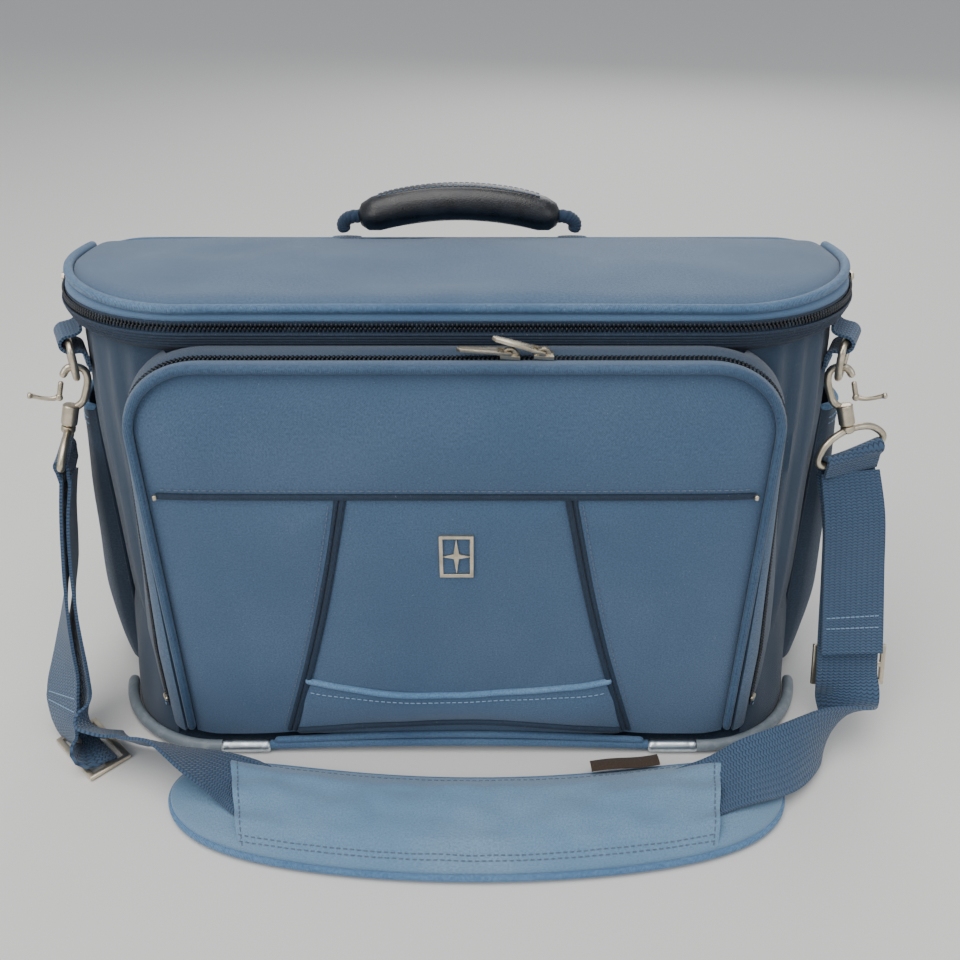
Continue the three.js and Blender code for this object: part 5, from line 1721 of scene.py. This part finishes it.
# A small bright stop closes each end of the zip, above two rows of stitches; one more bead ends the
# cross piping at each side of the face.
stops, beads, stop_rows = [], [], []
for side in (-1, 1):

    def zip_side(y, z, proud):
        at, out = Vector((side * POCKET_HALF, 0, z)), Vector((side, 0, 0))
        return Vector((side * (POCKET_HALF + spill(at, out, y) + proud), y, z))

    stop_line = [zip_side(y, 28, 0.5) for y in (-85.2, -83.5, -81.5, -79.5)]
    stops.append(tube("stop", stop_line, 1.6, 10, 10, upright=Vector((0, 0, 1))))
    bead_line = [Vector((side * 160.5, -97.6, z)) for z in (CROSS_Z - 1.6, CROSS_Z, CROSS_Z + 1.6)]
    beads.append(tube("bead", bead_line, 1.3, 10, 6))
    for z in (23.5, 20.5):
        stop_rows.append([(zip_side(-82 + 12 * i / 6, z, 1.4), Vector((side, -0.5, 0))) for i in range(7)])
metal_piece(join("zip_end_stops", *stops), "bag")
metal_piece(join("face_piping_beads", *beads), "pocket_flap")
stitches("zip_end_stitching", stop_rows, pale_thread, "bag", 2.9)

# The badge is a plain cast plate: an open frame round a four-pointed star, pinned through the cloth.
BADGE_WIDE, BADGE_HIGH, BADGE_Z = 19, 28, 150
badge_y = face_y(0, BADGE_Z) - 0.6
clear_choice()
bpy.ops.mesh.primitive_plane_add(size=1, rotation=(math.pi / 2, 0, 0))
badge = bpy.context.object
badge.name = badge.data.name = "badge_plate"
bpy.ops.object.transform_apply(location=False, rotation=True, scale=False)
for p in badge.data.vertices:
    p.co = mm(math.copysign(BADGE_WIDE / 2, p.co.x), badge_y, BADGE_Z + math.copysign(BADGE_HIGH / 2, p.co.z))
bpy.ops.object.mode_set(mode="EDIT")
bpy.ops.mesh.select_all(action="SELECT")
bpy.ops.mesh.inset(thickness=2.1 * MM, depth=0)
bpy.ops.mesh.delete(type="FACE")
bpy.ops.object.mode_set(mode="OBJECT")
thicken(badge, 2.0, 0.0)
clear_choice()
bpy.ops.mesh.primitive_circle_add(vertices=8, radius=1, fill_type="NGON")
star = bpy.context.object
for p in star.data.vertices:
    turn = math.atan2(p.co.y, p.co.x)
    step = round(turn / (math.pi / 4)) % 8
    reach = 2.2 if step % 2 else (12.4 if step in (2, 6) else 8.0)
    p.co = mm(reach * math.cos(step * math.pi / 4), badge_y, BADGE_Z + reach * math.sin(step * math.pi / 4))
thicken(star, 1.5, 0.0)
for part in (badge, star):
    only(part)
    worn_edges(part, 0.35, 2)
    bpy.ops.object.shade_smooth_by_angle(angle=math.radians(40))
badge = join("badge_plate", badge, star)
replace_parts(badge, "badge")
metal_piece(badge, "pocket_flap")

# ---------- Zip sliders and pulls ----------
# Die-cast sliders with an arched bridge. Two hold long tapered pulls on the front pocket's top run;
# one at each end of the lid zip is parked at the hinge.
for name in ("left", "right"):
    for place in ("pocket", "lid"):
        metal_piece(
            refined(f"{place}_slider_body_{name}", f"{place}_slider_{name}", 0.35, 3), f"{place}_slider_{name}"
        )
        metal_piece(
            refined(f"{place}_pull_body_{name}", f"{place}_pull_{name}", 0.4, 3), f"{place}_pull_{name}"
        )

# ---------- Ring tabs, D-rings and snap hooks ----------
# A loop of webbing on each front corner carries a bent-wire D-ring. A cast snap hook with a sprung gate
# hangs from each ring; its barrel holds the swivel of the strap's eye.
RING_Z, RING_WIRE = 247, 2.0
HOOK_WIRE = 2.2
ARCH_Z = RING_WIRE + HOOK_WIRE + 1.6
for name, side in SIDES:
    tab = tab_frame(side)
    hook = hook_frame(side)
    profile = [(2.9, 229), (2.9, 234), (3.0, 239), (5.6, 241.6), (9.4, 242.1), (12.8, 242.6), (15.6, 245.4)]
    profile += [(15.6, 248.6), (12.8, 251.4), (9.4, 251.9), (5.6, 252.6), (3.4, 254.2), (2.9, 257.0)]
    tab_stations = stations_through(
        [(tab @ Vector((x, 0, z)), tab.to_3x3() @ Vector((0, 1, 0))) for x, z in profile], 48
    )
    loop = webbing(f"ring_tab_loop_{name}", tab_stations, 24, 1.5)
    dress(loop, strap_cloth, "bag", "webbing", f"ring_tab_{name}")
    patch_rows = []
    for z in (231, 234.5):
        patch_rows.append(
            [(tab @ Vector((4.0, y, z)), tab.to_3x3() @ Vector((1, 0, 0))) for y in (-10.5, 0, 10.5)]
        )
    stitches(f"ring_tab_stitching_{name}", patch_rows, pale_thread, "bag", 3.0)

    half = 15
    right = [(half - 1, RING_Z), (half + 1.5, RING_Z - 3), (half, RING_Z - 12), (8, RING_FOOT + 2.5)]
    ring_loop = [(0, RING_Z), *right, (0, RING_FOOT), *[(-y, z) for y, z in reversed(right)]]
    ring = tube(
        f"ring_wire_{name}", [tab @ Vector((RING_OUT, y, z)) for y, z in ring_loop], RING_WIRE, 14, 80,
        closed=True
    )
    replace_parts(ring, f"d_ring_{name}")
    metal_piece(ring, f"d_ring_{name}")

    arch = [
        (-0.5, -21), (-5.3, -16), (-6.5, -9), (-6.5, -1), (-4, ARCH_Z - 1.5), (0.5, ARCH_Z), (5, ARCH_Z - 1.5),
        (7.5, -1.5)
    ]
    hook_bar = tube("hook_bar", [hook @ Vector((x, 0, z)) for x, z in arch], HOOK_WIRE, 14, 70)
    barrel = tube("hook_barrel", [hook @ Vector((0.5, 0, z)) for z in (-31, -29.8, -24.5, -19.2, -18)], 5.0, 24, 30,
                  ripple=lambda u, a: 0.93 + 0.07 * (
                      math.exp(-(((u - 0.09) / 0.05) ** 2)) + math.exp(-(((u - 0.88) / 0.06) ** 2))
                  ))
    hook_piece = join(f"snap_hook_{name}", hook_bar, barrel)
    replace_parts(hook_piece, f"hook_{name}")
    metal_piece(hook_piece, f"hook_{name}")

    lever = [(7.5, -14), (11.5, -15.4), (16.5, -15.5), (21, -14.8), (24.5, -14.5)]
    gate = tube("gate_lever", [hook @ Vector((x, 0, z)) for x, z in lever], 1.6, 12, 30,
                ripple=lambda u, a: 1 - 0.25 * math.sin(math.pi * min(1.0, u * 1.1)) + 0.35 * max(0.0, u - 0.8) * 5)
    blade = tube("gate_blade", [hook @ Vector((7.5, 0, z)) for z in (-14.5, -11, -7, -4)], 1.5, 12, 16)
    knuckle = tube("gate_knuckle", [hook @ Vector((7.5, y, -14)) for y in (-2.1, -0.7, 0.7, 2.1)], 2.0, 14, 6)
    gate_piece = join(f"hook_gate_lever_{name}", gate, blade, knuckle)
    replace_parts(gate_piece, f"hook_gate_{name}")
    metal_piece(gate_piece, f"hook_gate_{name}")

# ---------- Inside ----------
# A stiff board on the base and a padded divider standing on it split the main compartment in two.
board = refined("base_board_sheet", "base_board", 0.8, 2)
board.data.materials.clear()
dress(board, moulded("board_fibre", "1c1f23", "2f3338", 0.6), "bag", "base_stiffener")
divider = softened("divider_pad", "divider_panel", 3.0, 6, 0.2)
lining_solid = cloth(
    "lining_cloth_solid", "2f3842", "1c232b", "454f5a", 0.0008, 0.2, "Object", bump=0.3, roughness=0.7
)
dress(divider, lining_solid, "bag", "lining")
divider_top = [Vector((x, 23, 209.4)) for x in (-206, -120, -40, 40, 120, 206)]
cord_of_cloth("divider_binding", divider_top, 3.4, "bag", 60, trim_cloth)

for template in (bead, link):
    bpy.data.objects.remove(template)
